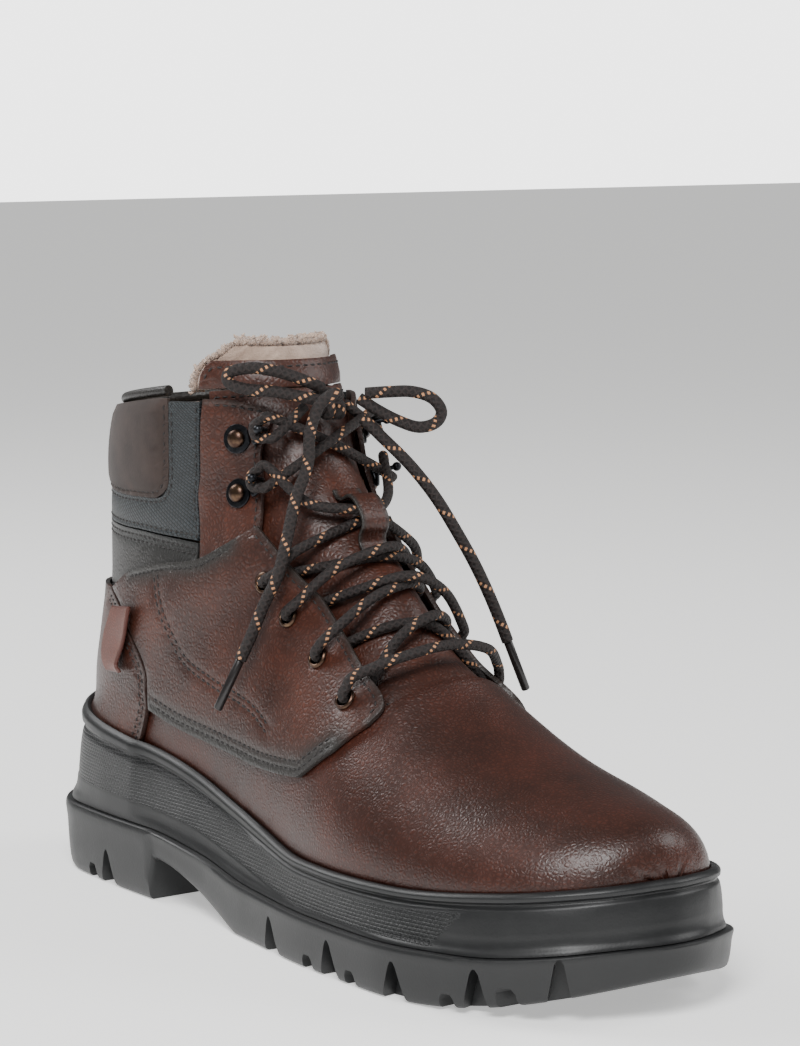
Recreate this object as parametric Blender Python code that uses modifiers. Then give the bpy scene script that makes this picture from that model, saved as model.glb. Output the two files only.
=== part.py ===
"""Insulated lace-up winter boot for the right foot, built as separate named pieces.

Frame: metres, +Z up, toe towards -Y, outer side of the foot towards -X. The origin lies on the
ground under the middle of the sole. Sizes in this file are millimetres until a mesh is made.
"""
import math

import bmesh
import bpy
import numpy as np
from mathutils import Matrix, Vector, geometry

MM = 0.001

# ---------------------------------------------------------------- driving dimensions (mm)
SOLE_HALF_LENGTH = 156.0      # outsole is 312 long: EU 42 to 43
CENTRE_SHIFT = 2.75           # puts the widest points of the sole at equal distance from x = 0
RIM_TUCK = 7.0                # upper reaches this far down inside the sole's rim
LEATHER = 1.6                 # shell leather thickness
LAP = 0.7                     # gap between a lower and an upper leather layer
FLEECE = 4.0                  # pile lining thickness
LACE_RADIUS = 1.75            # round braided lace, drawn tight
FREE_LACE_RADIUS = 2.0        # the same lace where it hangs free
EYELET_HOLE = 2.5             # inner radius of an eyelet
EYELET_FLANGE = 3.8           # outer radius of an eyelet
TOUCH = 0.3                   # gap kept between pieces that touch

# The upper's outer surface, as the last that it is pulled over: rows from the toe up the instep.
# Each row: place, front y, front z, edge y, half width outer, half width inner, fullness.
STATIONS = (
    (0.00, -147.0, 36.0, -147.0, 0.0, 0.0, 2.1),
    (0.02, -146.0, 48.0, -146.0, 0.0, 0.0, 2.1),
    (0.06, -141.0, 55.5, -141.0, 0.0, 0.0, 2.0),
    (0.12, -131.0, 59.5, -131.0, 0.0, 0.0, 1.95),
    (0.22, -110.0, 64.0, -110.0, 0.0, 0.0, 1.9),
    (0.32, -85.0, 71.0, -85.0, 0.0, 0.0, 1.9),
    (0.40, -62.0, 82.0, -60.0, 0.0, 0.0, 1.9),
    (0.48, -40.0, 100.0, -15.0, 43.0, 33.5, 1.9),
    (0.56, -22.0, 119.0, 45.0, 38.0, 32.0, 1.95),
    (0.66, 1.0, 138.0, 149.5, 39.0, 36.0, 2.25),
    (0.72, 10.0, 147.0, 146.5, 35.5, 35.0, 2.3),
    (0.78, 18.0, 156.0, 143.5, 34.0, 34.5, 2.25),
    (0.90, 26.0, 170.0, 140.0, 35.5, 36.0, 2.2),
    (1.00, 32.0, 182.0, 133.0, 36.0, 36.0, 2.2),
    (1.15, 40.0, 199.0, 128.0, 36.0, 36.0, 2.2),
)
CLOSED_FROM = 0.66            # rows above this one run right round the heel
BACK_LINE = ((0.66, 55.0), (0.72, 78.0), (0.78, 95.0), (0.90, 132.0), (1.0, 170.0), (1.15, 190.0))
FEATHER_Y = (-147, -144, -136, -120, -95, -60, -30, 5, 45, 85, 115, 137, 146.5, 150.5)
FEATHER_OUTER = (0, 14, 26, 38, 46, 48.5, 46.5, 41, 37, 37, 37.5, 30, 15, 0)
FEATHER_INNER = (0, 13, 24, 35, 42, 42.5, 38, 32, 31, 34, 36, 30, 15, 0)
RIM_Y = (-156, -120, -80, -35, 20, 60, 100, 148, 156)
RIM_Z = (43, 37.5, 34, 34, 42, 51, 56, 61.5, 62)
CENTRE_Y = (-156, -100, -40, 20, 156)
CENTRE_X = (7, 4, -1.5, -1, 0)

# The outsole's outline, outer and inner side: y, then x.
SOLE_OUTER = ((-156, 4), (-150, -14), (-138, -32), (-106, -50), (-72, -56.5), (-40, -56), (5, -51),
              (45, -46), (85, -45.5), (124, -43), (149, -28), (156, 0))
SOLE_INNER = ((-156, 4), (-151, 22), (-140, 37), (-118, 46), (-80, 51), (-40, 48), (0, 40), (38, 38),
              (85, 41), (124, 41), (149, 27), (156, 0))
OUTSOLE_TOP_Y = (-156, -110, -60, 0, 40, 75, 156)
OUTSOLE_TOP_Z = (24, 18, 17, 18, 22, 25, 25)
BREAST_Y = 72.0               # front face of the heel block
ARCH_HEIGHT = 15.0
TREAD_Y_OUTER = (-138, -116, -85, -51, -15, 100)
TREAD_Y_INNER = (-140, -114, -84, -52, -18, 102)

HOOK_SWING = 35               # degrees
FOOTBED_LIFT = 6
TAB_SWING = 40
TONGUE_FOLD = 25

PIECES = "winter_boot"
CUTTERS = "cutters"


# ---------------------------------------------------------------- scene
def empty_scene():
    for obj in list(bpy.data.objects):
        bpy.data.objects.remove(obj, do_unlink=True)
    for name in (PIECES, CUTTERS):
        group = bpy.data.collections.new(name)
        bpy.context.scene.collection.children.link(group)


def finish(name, colour, roughness, metallic=0.0):
    material = bpy.data.materials.new(name)
    material.use_nodes = True
    shader = material.node_tree.nodes["Principled BSDF"]
    shader.inputs["Base Color"].default_value = (*colour, 1.0)
    shader.inputs["Roughness"].default_value = roughness
    shader.inputs["Metallic"].default_value = metallic
    material.diffuse_color = (*colour, 1.0)
    return material


def add_object(name, data, material=None, group=PIECES):
    obj = bpy.data.objects.new(name, data)
    bpy.data.collections[group].objects.link(obj)
    if material is not None:
        data.materials.append(material)
    if group == CUTTERS:
        obj.hide_render = True
        obj.display_type = "WIRE"
    return obj


def mesh_from_bmesh(bm, name, smooth_angle=40):
    mesh = bpy.data.meshes.new(name)
    bm.to_mesh(mesh)
    bm.free()
    mesh.shade_smooth()
    mesh.set_sharp_from_angle(angle=math.radians(smooth_angle))
    return mesh


def mesh_from_lists(verts, faces, name, smooth_angle=40):
    bm = bmesh.new()
    made = [bm.verts.new(Vector(v) * MM) for v in verts]
    for face in faces:
        bm.faces.new([made[i] for i in face])
    bmesh.ops.remove_doubles(bm, verts=bm.verts, dist=0.02 * MM)
    return mesh_from_bmesh(bm, name, smooth_angle)


# ---------------------------------------------------------------- curves
def smooth(knots, values, x):
    """Shape-preserving cubic through the knots."""
    k = np.asarray(knots, float)
    v = np.asarray(values, float)
    h = np.diff(k)
    d = np.diff(v) / h
    slope = np.zeros(len(k))
    same = d[:-1] * d[1:] > 0
    w1 = 2 * h[1:] + h[:-1]
    w2 = h[1:] + 2 * h[:-1]
    inner = np.zeros(len(d) - 1)
    inner[same] = (w1 + w2)[same] / (w1[same] / d[:-1][same] + w2[same] / d[1:][same])
    slope[1:-1] = inner
    slope[0] = d[0]
    slope[-1] = d[-1]
    x = np.clip(np.asarray(x, float), k[0], k[-1])
    i = np.clip(np.searchsorted(k, x, side="right") - 1, 0, len(h) - 1)
    t = (x - k[i]) / h[i]
    start = (1 + 2 * t) * (1 - t) ** 2 * v[i] + t * (1 - t) ** 2 * h[i] * slope[i]
    stop = t * t * (3 - 2 * t) * v[i + 1] + t * t * (t - 1) * h[i] * slope[i + 1]
    return start + stop


def through(points, closed=False, per_span=8):
    """Points along a smooth curve through the route's own points."""
    p = np.asarray(points, float)
    n = len(p)
    out = []
    spans = n if closed else n - 1
    for i in range(spans):
        if closed:
            a, b, c, d = p[(i - 1) % n], p[i], p[(i + 1) % n], p[(i + 2) % n]
        else:
            b, c = p[i], p[i + 1]
            a = p[i - 1] if i > 0 else 2 * b - c
            d = p[i + 2] if i + 2 < n else 2 * c - b
        for j in range(per_span):
            t = j / per_span
            out.append(0.5 * (2 * b + (c - a) * t + (2 * a - 5 * b + 4 * c - d) * t * t
                              + (3 * b - a - 3 * c + d) * t ** 3))
    if not closed:
        out.append(p[-1])
    return np.array(out)


def evenly(points, step):
    """The same curve with a point about every step."""
    s = np.concatenate([[0], np.cumsum(np.linalg.norm(np.diff(points, axis=0), axis=1))])
    count = max(2, int(round(s[-1] / step)) + 1)
    t = np.linspace(0, s[-1], count)
    return np.stack([np.interp(t, s, points[:, k]) for k in range(points.shape[1])], -1)


# ---------------------------------------------------------------- the last
def last_row(u, side, count):
    """Half a row of the last, from the instep line down to the edge, evenly spaced."""
    table = np.array(STATIONS)
    fy, fz, ey, wo, wi, fullness = [float(smooth(table[:, 0], table[:, k], u)) for k in range(1, 7)]
    closed = u >= CLOSED_FROM
    back = np.array(BACK_LINE)
    ez = float(smooth(back[:, 0], back[:, 1], u)) if closed else float(smooth(RIM_Y, RIM_Z, ey)) - RIM_TUCK
    outline = FEATHER_OUTER if side < 0 else FEATHER_INNER
    at_edge = 0.0 if closed else float(smooth(FEATHER_Y, outline, ey))
    widest = max(wo if side < 0 else wi, at_edge * 1.03, 0.001)
    end = math.pi - math.asin(min(1.0, (at_edge / widest) ** (fullness / 2)))
    phi = np.linspace(0, end, 181)
    a = (1 - np.cos(phi)) / (1 - math.cos(end))
    x = widest * np.abs(np.sin(phi)) ** (2 / fullness)
    y = fy + (ey - fy) * a
    z = fz + (ez - fz) * a
    x = smooth(CENTRE_Y, CENTRE_X, y) + side * x + CENTRE_SHIFT
    return evenly_counted(np.stack([x, y, z], -1), count)


def evenly_counted(points, count):
    s = np.concatenate([[0], np.cumsum(np.linalg.norm(np.diff(points, axis=0), axis=1))])
    t = np.linspace(0, s[-1], count)
    return np.stack([np.interp(t, s, points[:, k]) for k in range(3)], -1)


class Last:
    """The upper's outer surface: u runs from toe to collar, v from outer (-1) to inner (+1) edge."""

    ROWS = 181
    HALF = 61

    def __init__(self):
        self.us = np.linspace(0.003, 1.15, self.ROWS)
        rows = []
        for u in self.us:
            outer = last_row(u, -1, self.HALF)
            inner = last_row(u, 1, self.HALF)
            rows.append(np.concatenate([outer[::-1], inner[1:]]))
        self.points = self.relaxed(np.array(rows))
        along = np.gradient(self.points, axis=0)
        across = np.gradient(self.points, axis=1)
        normals = np.cross(across, along)
        self.normals = normals / (np.linalg.norm(normals, axis=2)[..., None] + 1e-12)

    def relaxed(self, p):
        """The rows evened out where those ending at the sole's rim meet those closed at the heel."""
        vs = np.linspace(-1, 1, 2 * self.HALF - 1)
        along = 0.45 * np.exp(-((self.us - 0.655) / 0.05) ** 2) + 0.06
        share = (along[:, None] * (1 - 0.9 * vs ** 6)[None, :])[..., None]
        closed = self.us >= CLOSED_FROM
        for _ in range(40):
            wide = np.concatenate([p[:, :1], p, p[:, -1:]], axis=1)
            wide[closed, 0] = p[closed, -2]
            wide[closed, -1] = p[closed, 1]
            mean = p.copy()
            mean[1:-1] = 0.25 * (p[:-2] + p[2:] + wide[1:-1, :-2] + wide[1:-1, 2:])
            mean[~closed, 0] = p[~closed, 0]
            mean[~closed, -1] = p[~closed, -1]
            p = p + share * (mean - p)
        return p

    def at(self, u, v, lift=0.0):
        """Point on the last, lifted outwards."""
        fu = np.clip((u - self.us[0]) / (self.us[-1] - self.us[0]) * (self.ROWS - 1), 0, self.ROWS - 1.001)
        fv = np.clip((v + 1) * (self.HALF - 1), 0, 2 * self.HALF - 2.001)
        i, j = int(fu), int(fv)
        a, b = fu - i, fv - j
        out = []
        for table in (self.points, self.normals):
            low = table[i, j] * (1 - b) + table[i, j + 1] * b
            high = table[i + 1, j] * (1 - b) + table[i + 1, j + 1] * b
            out.append(low * (1 - a) + high * a)
        normal = out[1] / (np.linalg.norm(out[1]) + 1e-12)
        return out[0] + normal * lift

    def normal(self, u, v):
        """Outward direction, averaged over a few millimetres around a place."""
        along = self.at(u + 0.014, v) - self.at(u - 0.014, v)
        across = self.at(u, v + 0.04) - self.at(u, v - 0.04)
        n = np.cross(across, along)
        return n / np.linalg.norm(n)

    def find(self, point, side):
        """The place (u, v) on one side of the last nearest to a point."""
        half = slice(0, self.HALF) if side < 0 else slice(self.HALF - 1, 2 * self.HALF - 1)
        area = self.points[:, half]
        i, j = np.unravel_index(np.argmin(np.sum((area - point) ** 2, axis=2)), area.shape[:2])
        u = self.us[i]
        v = (j + (0 if side < 0 else self.HALF - 1)) / (self.HALF - 1) - 1
        low, high = (-1.0, 0.0) if side < 0 else (0.0, 1.0)
        for _ in range(4):
            here = self.at(u, v)
            tu = (self.at(u + 0.004, v) - self.at(u - 0.004, v)) / 0.008
            tv = (self.at(u, v + 0.01) - self.at(u, v - 0.01)) / 0.02
            step, *_ = np.linalg.lstsq(np.stack([tu, tv], -1), point - here, rcond=None)
            u = float(np.clip(u + np.clip(step[0], -0.01, 0.01), self.us[0], self.us[-1]))
            v = float(np.clip(v + np.clip(step[1], -0.03, 0.03), low, high))
        return u, v


LAST = Last()


def wrap_at(u, w, lift):
    """Point on the closed rows, where w is 0 at the back, +1 and -1 at the instep line."""
    return LAST.at(u, w - 1 if w >= 0 else w + 1, lift)


# ---------------------------------------------------------------- panels cut from the last
def inside(polygon, q):
    x, y = q
    hit = False
    for (x0, y0), (x1, y1) in zip(polygon, np.roll(polygon, -1, axis=0)):
        if (y0 > y) != (y1 > y) and x < (x1 - x0) * (y - y0) / (y1 - y0) + x0:
            hit = not hit
    return hit


def cut_panel(name, material, outline, lift, thickness, place=LAST.at, holes=(), spacing=9.0, scale=(420, 130)):
    """Closed panel from an outline on the last, with holes, as an open sheet made solid.

    outline is a list of (u, v); every hole is a list of (u, v) too.
    """
    size = np.array(scale, float)
    loops = [np.array(outline) * size] + [np.array(h) * size for h in holes]
    spots = np.concatenate(loops)
    edges = []
    base = 0
    for loop in loops:
        edges += [(base + k, base + (k + 1) % len(loop)) for k in range(len(loop))]
        base += len(loop)
    solid_edge = np.array([place(u, v, lift) for u, v in spots / size])
    low, high = loops[0].min(axis=0), loops[0].max(axis=0)
    fill = []
    u = low[0] / size[0]
    while u < high[0] / size[0]:
        vs = np.linspace(low[1] / size[1], high[1] / size[1], 41)
        row = np.array([place(u, v, lift) for v in vs])
        length = np.cumsum(np.linalg.norm(np.diff(row, axis=0), axis=1))[-1]
        count = max(2, int(length / spacing))
        for v in np.linspace(vs[0], vs[-1], count + 1):
            q = np.array([u, v]) * size
            if not inside(loops[0], q) or any(inside(h, q) for h in loops[1:]):
                continue
            if np.min(np.linalg.norm(solid_edge - place(u, v, lift), axis=1)) > spacing * 0.55:
                fill.append(q)
        mid = 0.5 * (vs[0] + vs[-1])
        step = np.linalg.norm(place(min(u + 0.01, 1.14), mid, 0) - place(u, mid, 0)) / 0.01
        u += spacing / max(step, 60.0)
    points = [Vector(q) for q in spots] + [Vector(q) for q in fill]
    verts, _, faces, *_ = geometry.delaunay_2d_cdt(points, edges, [], 1, 1e-5)
    flat = np.array([[v.x, v.y] for v in verts])
    kept = [f for f in faces if not any(inside(h, flat[list(f)].mean(axis=0)) for h in loops[1:])]
    solid = [place(u, v, lift) for u, v in flat / size]
    mesh = mesh_from_lists(solid, kept, name)
    face_outwards(mesh, place, flat / size, lift, solid)
    obj = add_object(name, mesh, material)
    shell = obj.modifiers.new("thickness", "SOLIDIFY")
    shell.thickness = thickness * MM
    shell.offset = 1.0
    return obj


def face_outwards(mesh, place, flat, lift, solid):
    """Turn the sheet's faces to the outside of the boot."""
    total = 0.0
    lookup = np.array(solid) * MM
    for poly in mesh.polygons:
        k = int(np.argmin(np.linalg.norm(lookup - np.array(poly.center), axis=1)))
        outward = place(*flat[k], lift + 1) - place(*flat[k], lift)
        total += float(np.dot(poly.normal, outward)) * poly.area
    if total < 0:
        mesh.flip_normals()


def on_side(points, side):
    """Places on the last nearest to points given in mm, for the outer (-1) or inner (+1) side."""
    out = []
    for x, y, z in points:
        out.append(LAST.find(np.array([side * abs(x) + CENTRE_SHIFT, y, z], float), side))
    return out


def edge_curve(points, side, step=8.0, closed=False):
    """Smooth curve through points in mm, as places on the last."""
    return on_side(evenly(through(points, closed), step), side)


def circle_on(u, v, radius, count=12):
    """A round hole on the last around a place."""
    tu = LAST.at(u + 0.004, v) - LAST.at(u - 0.004, v)
    tv = LAST.at(u, v + 0.01) - LAST.at(u, v - 0.01)
    out = []
    n = LAST.normal(u, v)
    e1 = tu / np.linalg.norm(tu)
    e2 = np.cross(n, e1)
    basis = np.stack([tu / 0.008, tv / 0.02], -1)
    for k in range(count):
        a = 2 * math.pi * k / count
        offset = radius * (math.cos(a) * e1 + math.sin(a) * e2)
        du, dv = np.linalg.lstsq(basis, offset, rcond=None)[0]
        out.append((u + du, v + dv))
    return out


def grid_panel(name, material, us, vs, lift, thickness, place=LAST.at):
    """Closed panel over a plain rectangle of the last. lift is a number or a function of u."""
    rise = lift if callable(lift) else (lambda u: lift)
    verts = [place(u, v, rise(u)) for u in us for v in vs]
    n = len(vs)
    faces = []
    for i in range(len(us) - 1):
        for j in range(n - 1):
            faces.append((i * n + j, i * n + j + 1, (i + 1) * n + j + 1, (i + 1) * n + j))
    mesh = mesh_from_lists(verts, faces, name)
    flat = [(u, v) for u in us for v in vs]
    face_outwards(mesh, place, flat, rise(us[0]), verts)
    obj = add_object(name, mesh, material)
    shell = obj.modifiers.new("thickness", "SOLIDIFY")
    shell.thickness = thickness * MM
    shell.offset = 1.0
    return obj


# ---------------------------------------------------------------- sole
SOLE_STEPS = 32               # points from toe to heel on each side


def plan(outer, inner, y_toe, y_heel, inset=0.0):
    """Closed plan outline from toe round the heel: paired points on both sides."""
    half = 0.5 * (y_heel - y_toe)
    mid = 0.5 * (y_heel + y_toe)
    angle = np.linspace(0, math.pi, SOLE_STEPS + 1)
    y = mid - half * np.cos(angle)

    def side(table):
        knots = [math.acos(max(-1.0, min(1.0, -(k - mid) / half))) for k, _ in table]
        return smooth(knots, [x for _, x in table], angle) + CENTRE_SHIFT

    out = np.stack([side(outer), y], -1)
    inn = np.stack([side(inner), y], -1)[1:-1][::-1]
    loop = np.concatenate([out, inn])
    ahead = np.roll(loop, -1, axis=0) - np.roll(loop, 1, axis=0)
    normal = np.stack([-ahead[:, 1], ahead[:, 0]], -1)
    normal /= np.linalg.norm(normal, axis=1)[:, None]
    return loop - normal * inset


def feather_plan(outset):
    """The upper's lower edge in plan, pushed outwards by a number or by a function of y."""
    outer = [(y, smooth(CENTRE_Y, CENTRE_X, y) - w) for y, w in zip(FEATHER_Y, FEATHER_OUTER)]
    inner = [(y, smooth(CENTRE_Y, CENTRE_X, y) + w) for y, w in zip(FEATHER_Y, FEATHER_INNER)]
    if callable(outset):
        outset = outset(plan(outer, inner, FEATHER_Y[0], FEATHER_Y[-1])[:, 1])[:, None]
    return plan(outer, inner, FEATHER_Y[0], FEATHER_Y[-1], -outset)


def cup_wall(y):
    """How far the cup's inner wall stands off the feather edge: wider behind, where covers go down in."""
    return smooth((58, 78), (1.7, 3.4), y)


def sole_plan(inset):
    return plan(SOLE_OUTER, SOLE_INNER, -SOLE_HALF_LENGTH, SOLE_HALF_LENGTH, inset)


def ground_height(y):
    """Underside of the outsole: toe spring, arch and heel bevel."""
    spring = 14.0 * np.clip((-y - 85) / 70, 0, 2) ** 2
    bevel = 4.0 * np.clip((y - 125) / 30, 0, 2) ** 2
    arch = smooth((15, 30, 45, 60, BREAST_Y - 5, BREAST_Y), (0, 5, 10, 14, ARCH_HEIGHT, 0), y)
    return spring + bevel + arch


def outsole_top(y):
    return smooth(OUTSOLE_TOP_Y, OUTSOLE_TOP_Z, y)


def rim_height(y):
    return smooth(RIM_Y, RIM_Z, y)


def stacked(name, material, rows):
    """Closed body from plan outlines stacked bottom to top, capped straight across the width."""
    n = len(rows[0])
    verts = [tuple(p) for row in rows for p in row]
    faces = []
    for i in range(len(rows) - 1):
        for k in range(n):
            a, b = i * n + k, i * n + (k + 1) % n
            faces.append((a, b, b + n, a + n))
    for base, flip in ((0, False), ((len(rows) - 1) * n, True)):
        for k in range(n // 2):
            a, b = base + k, base + k + 1
            c, d = base + (n - k - 1) % n, base + (n - k) % n
            quad = [a, b, c, d]
            quad = [q for i, q in enumerate(quad) if q not in quad[:i]]
            if len(quad) > 2:
                faces.append(tuple(quad if flip else quad[::-1]))
    bm = bmesh.new()
    made = [bm.verts.new(Vector(v) * MM) for v in verts]
    for face in faces:
        bm.faces.new([made[i] for i in face])
    bmesh.ops.triangulate(bm, faces=[f for f in bm.faces if len(f.verts) > 3])
    bmesh.ops.recalc_face_normals(bm, faces=bm.faces)
    if bm.calc_volume(signed=True) < 0:
        bmesh.ops.reverse_faces(bm, faces=bm.faces)
    return add_object(name, mesh_from_bmesh(bm, name, 35), material)


def with_height(loop, height):
    return np.column_stack([loop, height if np.ndim(height) else np.full(len(loop), float(height))])


def outsole(material):
    rows = []
    for share, inset in ((0.0, 3.0), (0.12, 1.6), (0.7, 0.6), (0.93, 0.0), (1.0, 1.2)):
        loop = sole_plan(inset)
        low, high = ground_height(loop[:, 1]), outsole_top(loop[:, 1])
        rows.append(with_height(loop, low + (high - low) * share))
    obj = stacked("outsole", material, rows)
    cut(obj, tread_grooves())
    cut(obj, tread_notches())
    return obj


def cutter_from(bm, name):
    bmesh.ops.recalc_face_normals(bm, faces=bm.faces)
    mesh = bpy.data.meshes.new(name)
    bm.to_mesh(mesh)
    bm.free()
    return add_object(name, mesh, None, CUTTERS)


def cut(obj, tool):
    hole = obj.modifiers.new(tool.name, "BOOLEAN")
    hole.operation = "DIFFERENCE"
    hole.object = tool
    hole.solver = "EXACT"


def wedge(bm, centre, angle, length, bottom_width, top_width, z_low, z_high):
    """A bar whose section narrows upwards, for cutting the tread."""
    shape = bmesh.ops.create_cube(bm, size=1.0)
    spin = Matrix.Rotation(angle, 4, "Z")
    for vert in shape["verts"]:
        width = top_width if vert.co.z > 0 else bottom_width
        z = z_high if vert.co.z > 0 else z_low
        local = spin @ Vector((vert.co.x * length, vert.co.y * width, 0))
        vert.co = (Vector(centre) + local + Vector((0, 0, z))) * MM


def tread_grooves():
    """Channels right across the sole between the lugs, and two in the heel."""
    bm = bmesh.new()
    for k, y in enumerate((-128, -100, -68, -33)):
        depth = float(ground_height(np.array(float(y)))) + 5.0
        wedge(bm, (0, y, 0), math.radians(6 if k % 2 else -6), 130, 7.0, 4.5, -5, depth)
    wedge(bm, (0, 112, 0), 0.0, 110, 7.0, 4.5, -5, 5.5)
    return cutter_from(bm, "tread_grooves")


def tread_notches():
    """V-shaped notches round the edge between the lugs."""
    bm = bmesh.new()
    loop = sole_plan(0.0)
    half = len(loop) // 2
    for table, ys in ((loop[:half], TREAD_Y_OUTER), (loop[half:], TREAD_Y_INNER)):
        for y in ys:
            k = int(np.argmin(np.abs(table[:, 1] - y)))
            x, y = table[k]
            ahead = table[min(k + 1, len(table) - 1)] - table[k - 1]
            angle = math.atan2(ahead[1], ahead[0]) + math.pi / 2
            rise = float(ground_height(np.array(float(y))))
            wedge(bm, (x, y, 0), angle, 15, 9.0, 3.5, -5, rise + 12.5)
    return cutter_from(bm, "tread_notches")


def midsole(material):
    """Cup that holds the upper: side wall, groove, rounded rim, inner wall and floor."""
    wide = sole_plan(2.4)
    rim = rim_height(wide[:, 1])
    base = outsole_top(wide[:, 1]) + TOUCH
    rows = []
    for share, blend, extra in ((0.0, 0.0, 0.0), (0.35, 0.35, 0.6), (0.72, 0.8, 0.0), (0.8, 1.0, -0.6),
                                (0.86, 1.0, 0.8), (0.95, 1.0, 0.6), (1.0, 1.0, -0.6)):
        outer = feather_plan(4.6 + extra)
        loop = wide * (1 - blend) + outer * blend if blend < 1 else outer
        rows.append(with_height(loop, base + (rim - base) * share))
    rows.append(with_height(feather_plan(cup_wall), rim - 0.7))
    rows.append(with_height(feather_plan(cup_wall), rim - BOARD_DROP))
    return stacked("midsole", material, rows)


BOARD_DROP = 15.0             # rim down to the cup's floor


def slab(name, material, inset, drop, thickness, y_from=None, y_to=None):
    """Flat layer inside the cup that follows the floor's slope."""
    loop = feather_plan(-inset)
    if y_from is not None:
        loop = np.column_stack([loop[:, 0] * 0.35 + 2.0, np.clip(loop[:, 1], y_from, y_to)])
        half = len(loop) // 2
        y = np.linspace(y_from, y_to, half + 1)
        width = 9.0 * np.sqrt(np.clip(np.sin(np.linspace(0.02, math.pi - 0.02, half + 1)), 0.05, 1))
        outer = np.stack([2.0 - width, y], -1)
        inner = np.stack([2.0 + width, y], -1)[1:-1][::-1]
        loop = np.concatenate([outer, inner])
    low = rim_height(loop[:, 1]) - drop
    return stacked(name, material, [with_height(loop, low), with_height(loop, low + thickness)])


# ---------------------------------------------------------------- upper: outlines in mm, outer side
QUARTER_FRONT = ((-27, 27, 134), (-24, 16, 125), (-23, 8, 119), (-23, -4, 113), (-24, -19, 102),
                 (-26, -33, 92), (-27, -42, 87), (-29, -46, 82.5), (-33, -45, 77))
QUARTER_LOW = ((-42, -37, 69), (-44.5, -25, 60.5), (-43.5, -19, 58), (-41, 3, 57), (-40, 18, 58),
               (-39, 37, 60), (-39, 59, 62.5), (-39, 76.5, 66))
QUARTER_BACK = ((-39, 77, 72), (-39, 78, 79), (-39, 84, 87), (-36, 98, 98), (-31, 112, 104))
QUARTER_TOP = ((-34, 95, 112.5), (-35, 74, 117), (-35, 52, 120.5), (-31, 38, 127))
COVER_FRONT = ((-37.5, 86, 50), (-38, 81, 58), (-38.6, 78, 66), (-38.6, 78.5, 72), (-38.6, 79.6, 79),
               (-38.6, 85.6, 86.6), (-35.6, 99.4, 97.4), (-30, 114, 103.6))
SHAFT_FRONT = ((-28, 27, 126), (-27, 27.5, 134), (-24, 31, 148), (-22, 34, 159), (-17, 33, 171))
SHAFT_TOP = ((-19, 36, 173.5), (-26, 45, 175.3), (-32, 55, 175.3))
SHAFT_BACK = ((-32, 56, 166), (-32, 56, 150), (-33, 57, 141), (-34, 54, 127), (-35, 52, 119))
SHAFT_LOW = ((-35, 50, 113), (-31, 34, 118))
EYELET_PLACES = ((0.485, 0.383), (0.540, 0.350), (0.587, 0.308), (0.626, 0.258))
HOOK_PLACES = ((0.773, 0.225), (0.886, 0.208))


def side_panel(name, material, edges, side, lift, holes=()):
    outline = []
    for edge in edges:
        outline += edge_curve(edge, side)
    outline = tidy_loop(outline)
    return cut_panel(name, material, outline, lift, LEATHER, holes=holes)


def tidy_loop(outline, nearest=2.5):
    """Drop points that crowd their neighbour."""
    kept = []
    for place in outline:
        if kept and np.linalg.norm(LAST.at(*place) - LAST.at(*kept[-1])) < nearest:
            continue
        kept.append(place)
    if np.linalg.norm(LAST.at(*kept[0]) - LAST.at(*kept[-1])) < nearest:
        kept.pop()
    return kept


def quarter(name, material, side):
    holes = [circle_on(u, side * v, EYELET_HOLE + 0.72) for u, v in EYELET_PLACES]
    edges = (QUARTER_FRONT, QUARTER_LOW, QUARTER_BACK, QUARTER_TOP)
    return side_panel(name, material, edges, side, LAP, holes)


def shaft_panel(name, material, side):
    holes = [circle_on(u, side * v, 1.9, 10) for u, v in HOOK_PLACES]
    edges = (SHAFT_FRONT, SHAFT_TOP, SHAFT_BACK, SHAFT_LOW)
    return side_panel(name, material, edges, side, -LEATHER, holes)


def heel_cover(name, material, side):
    """Counter cover: from the sole's rim up to the rear band, meeting its pair at the back."""
    back = [(u, side * 0.992) for u in np.linspace(0.795, 0.668, 7)]
    rim = [(u, side * 1.0) for u in np.linspace(0.655, 0.5985, 7)]
    front = edge_curve(COVER_FRONT, side)
    top = edge_curve(((-24, 124, 103.6), (-13, 136, 103), (-2, 143, 101)), side)
    return cut_panel(name, material, tidy_loop(back + rim + front[1:] + top), LAP, LEATHER)


VAMP_TOP = ((0.600, -0.745), (0.56, -0.72), (0.53, -0.70), (0.508, -0.675), (0.480, -0.54), (0.468, -0.46),
            (0.460, -0.38), (0.452, -0.30), (0.446, -0.15), (0.444, 0.0), (0.446, 0.15), (0.452, 0.30),
            (0.460, 0.38), (0.468, 0.46), (0.480, 0.54), (0.508, 0.675), (0.53, 0.70), (0.56, 0.72),
            (0.600, 0.745))


def vamp(material):
    outline = []
    for v in np.linspace(-1, 1, 3)[:-1]:
        outline.append((0.0032, v))
    for u in np.concatenate([[0.0032, 0.02, 0.045], np.linspace(0.08, 0.58, 24), [0.61]]):
        outline.append((u, 1.0))
    outline += [(0.612, 0.90), (0.606, 0.80)]
    outline += list(reversed(VAMP_TOP))
    outline += [(0.606, -0.80), (0.612, -0.90)]
    for u in np.concatenate([[0.61], np.linspace(0.58, 0.08, 24), [0.045, 0.02]]):
        outline.append((u, -1.0))
    return cut_panel("vamp", material, outline, -LEATHER, LEATHER)


def ring_curve(points, step=8.0):
    """Places on the closed rows, as (u, w), through hand-set ones."""
    fine = through(points, per_span=10)
    solid = np.array([wrap_at(u, w, 0) for u, w in fine])
    s = np.concatenate([[0], np.cumsum(np.linalg.norm(np.diff(solid, axis=0), axis=1))])
    count = max(2, int(round(s[-1] / step)) + 1)
    t = np.linspace(0, s[-1], count)
    return list(zip(np.interp(t, s, fine[:, 0]), np.interp(t, s, fine[:, 1])))


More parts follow.
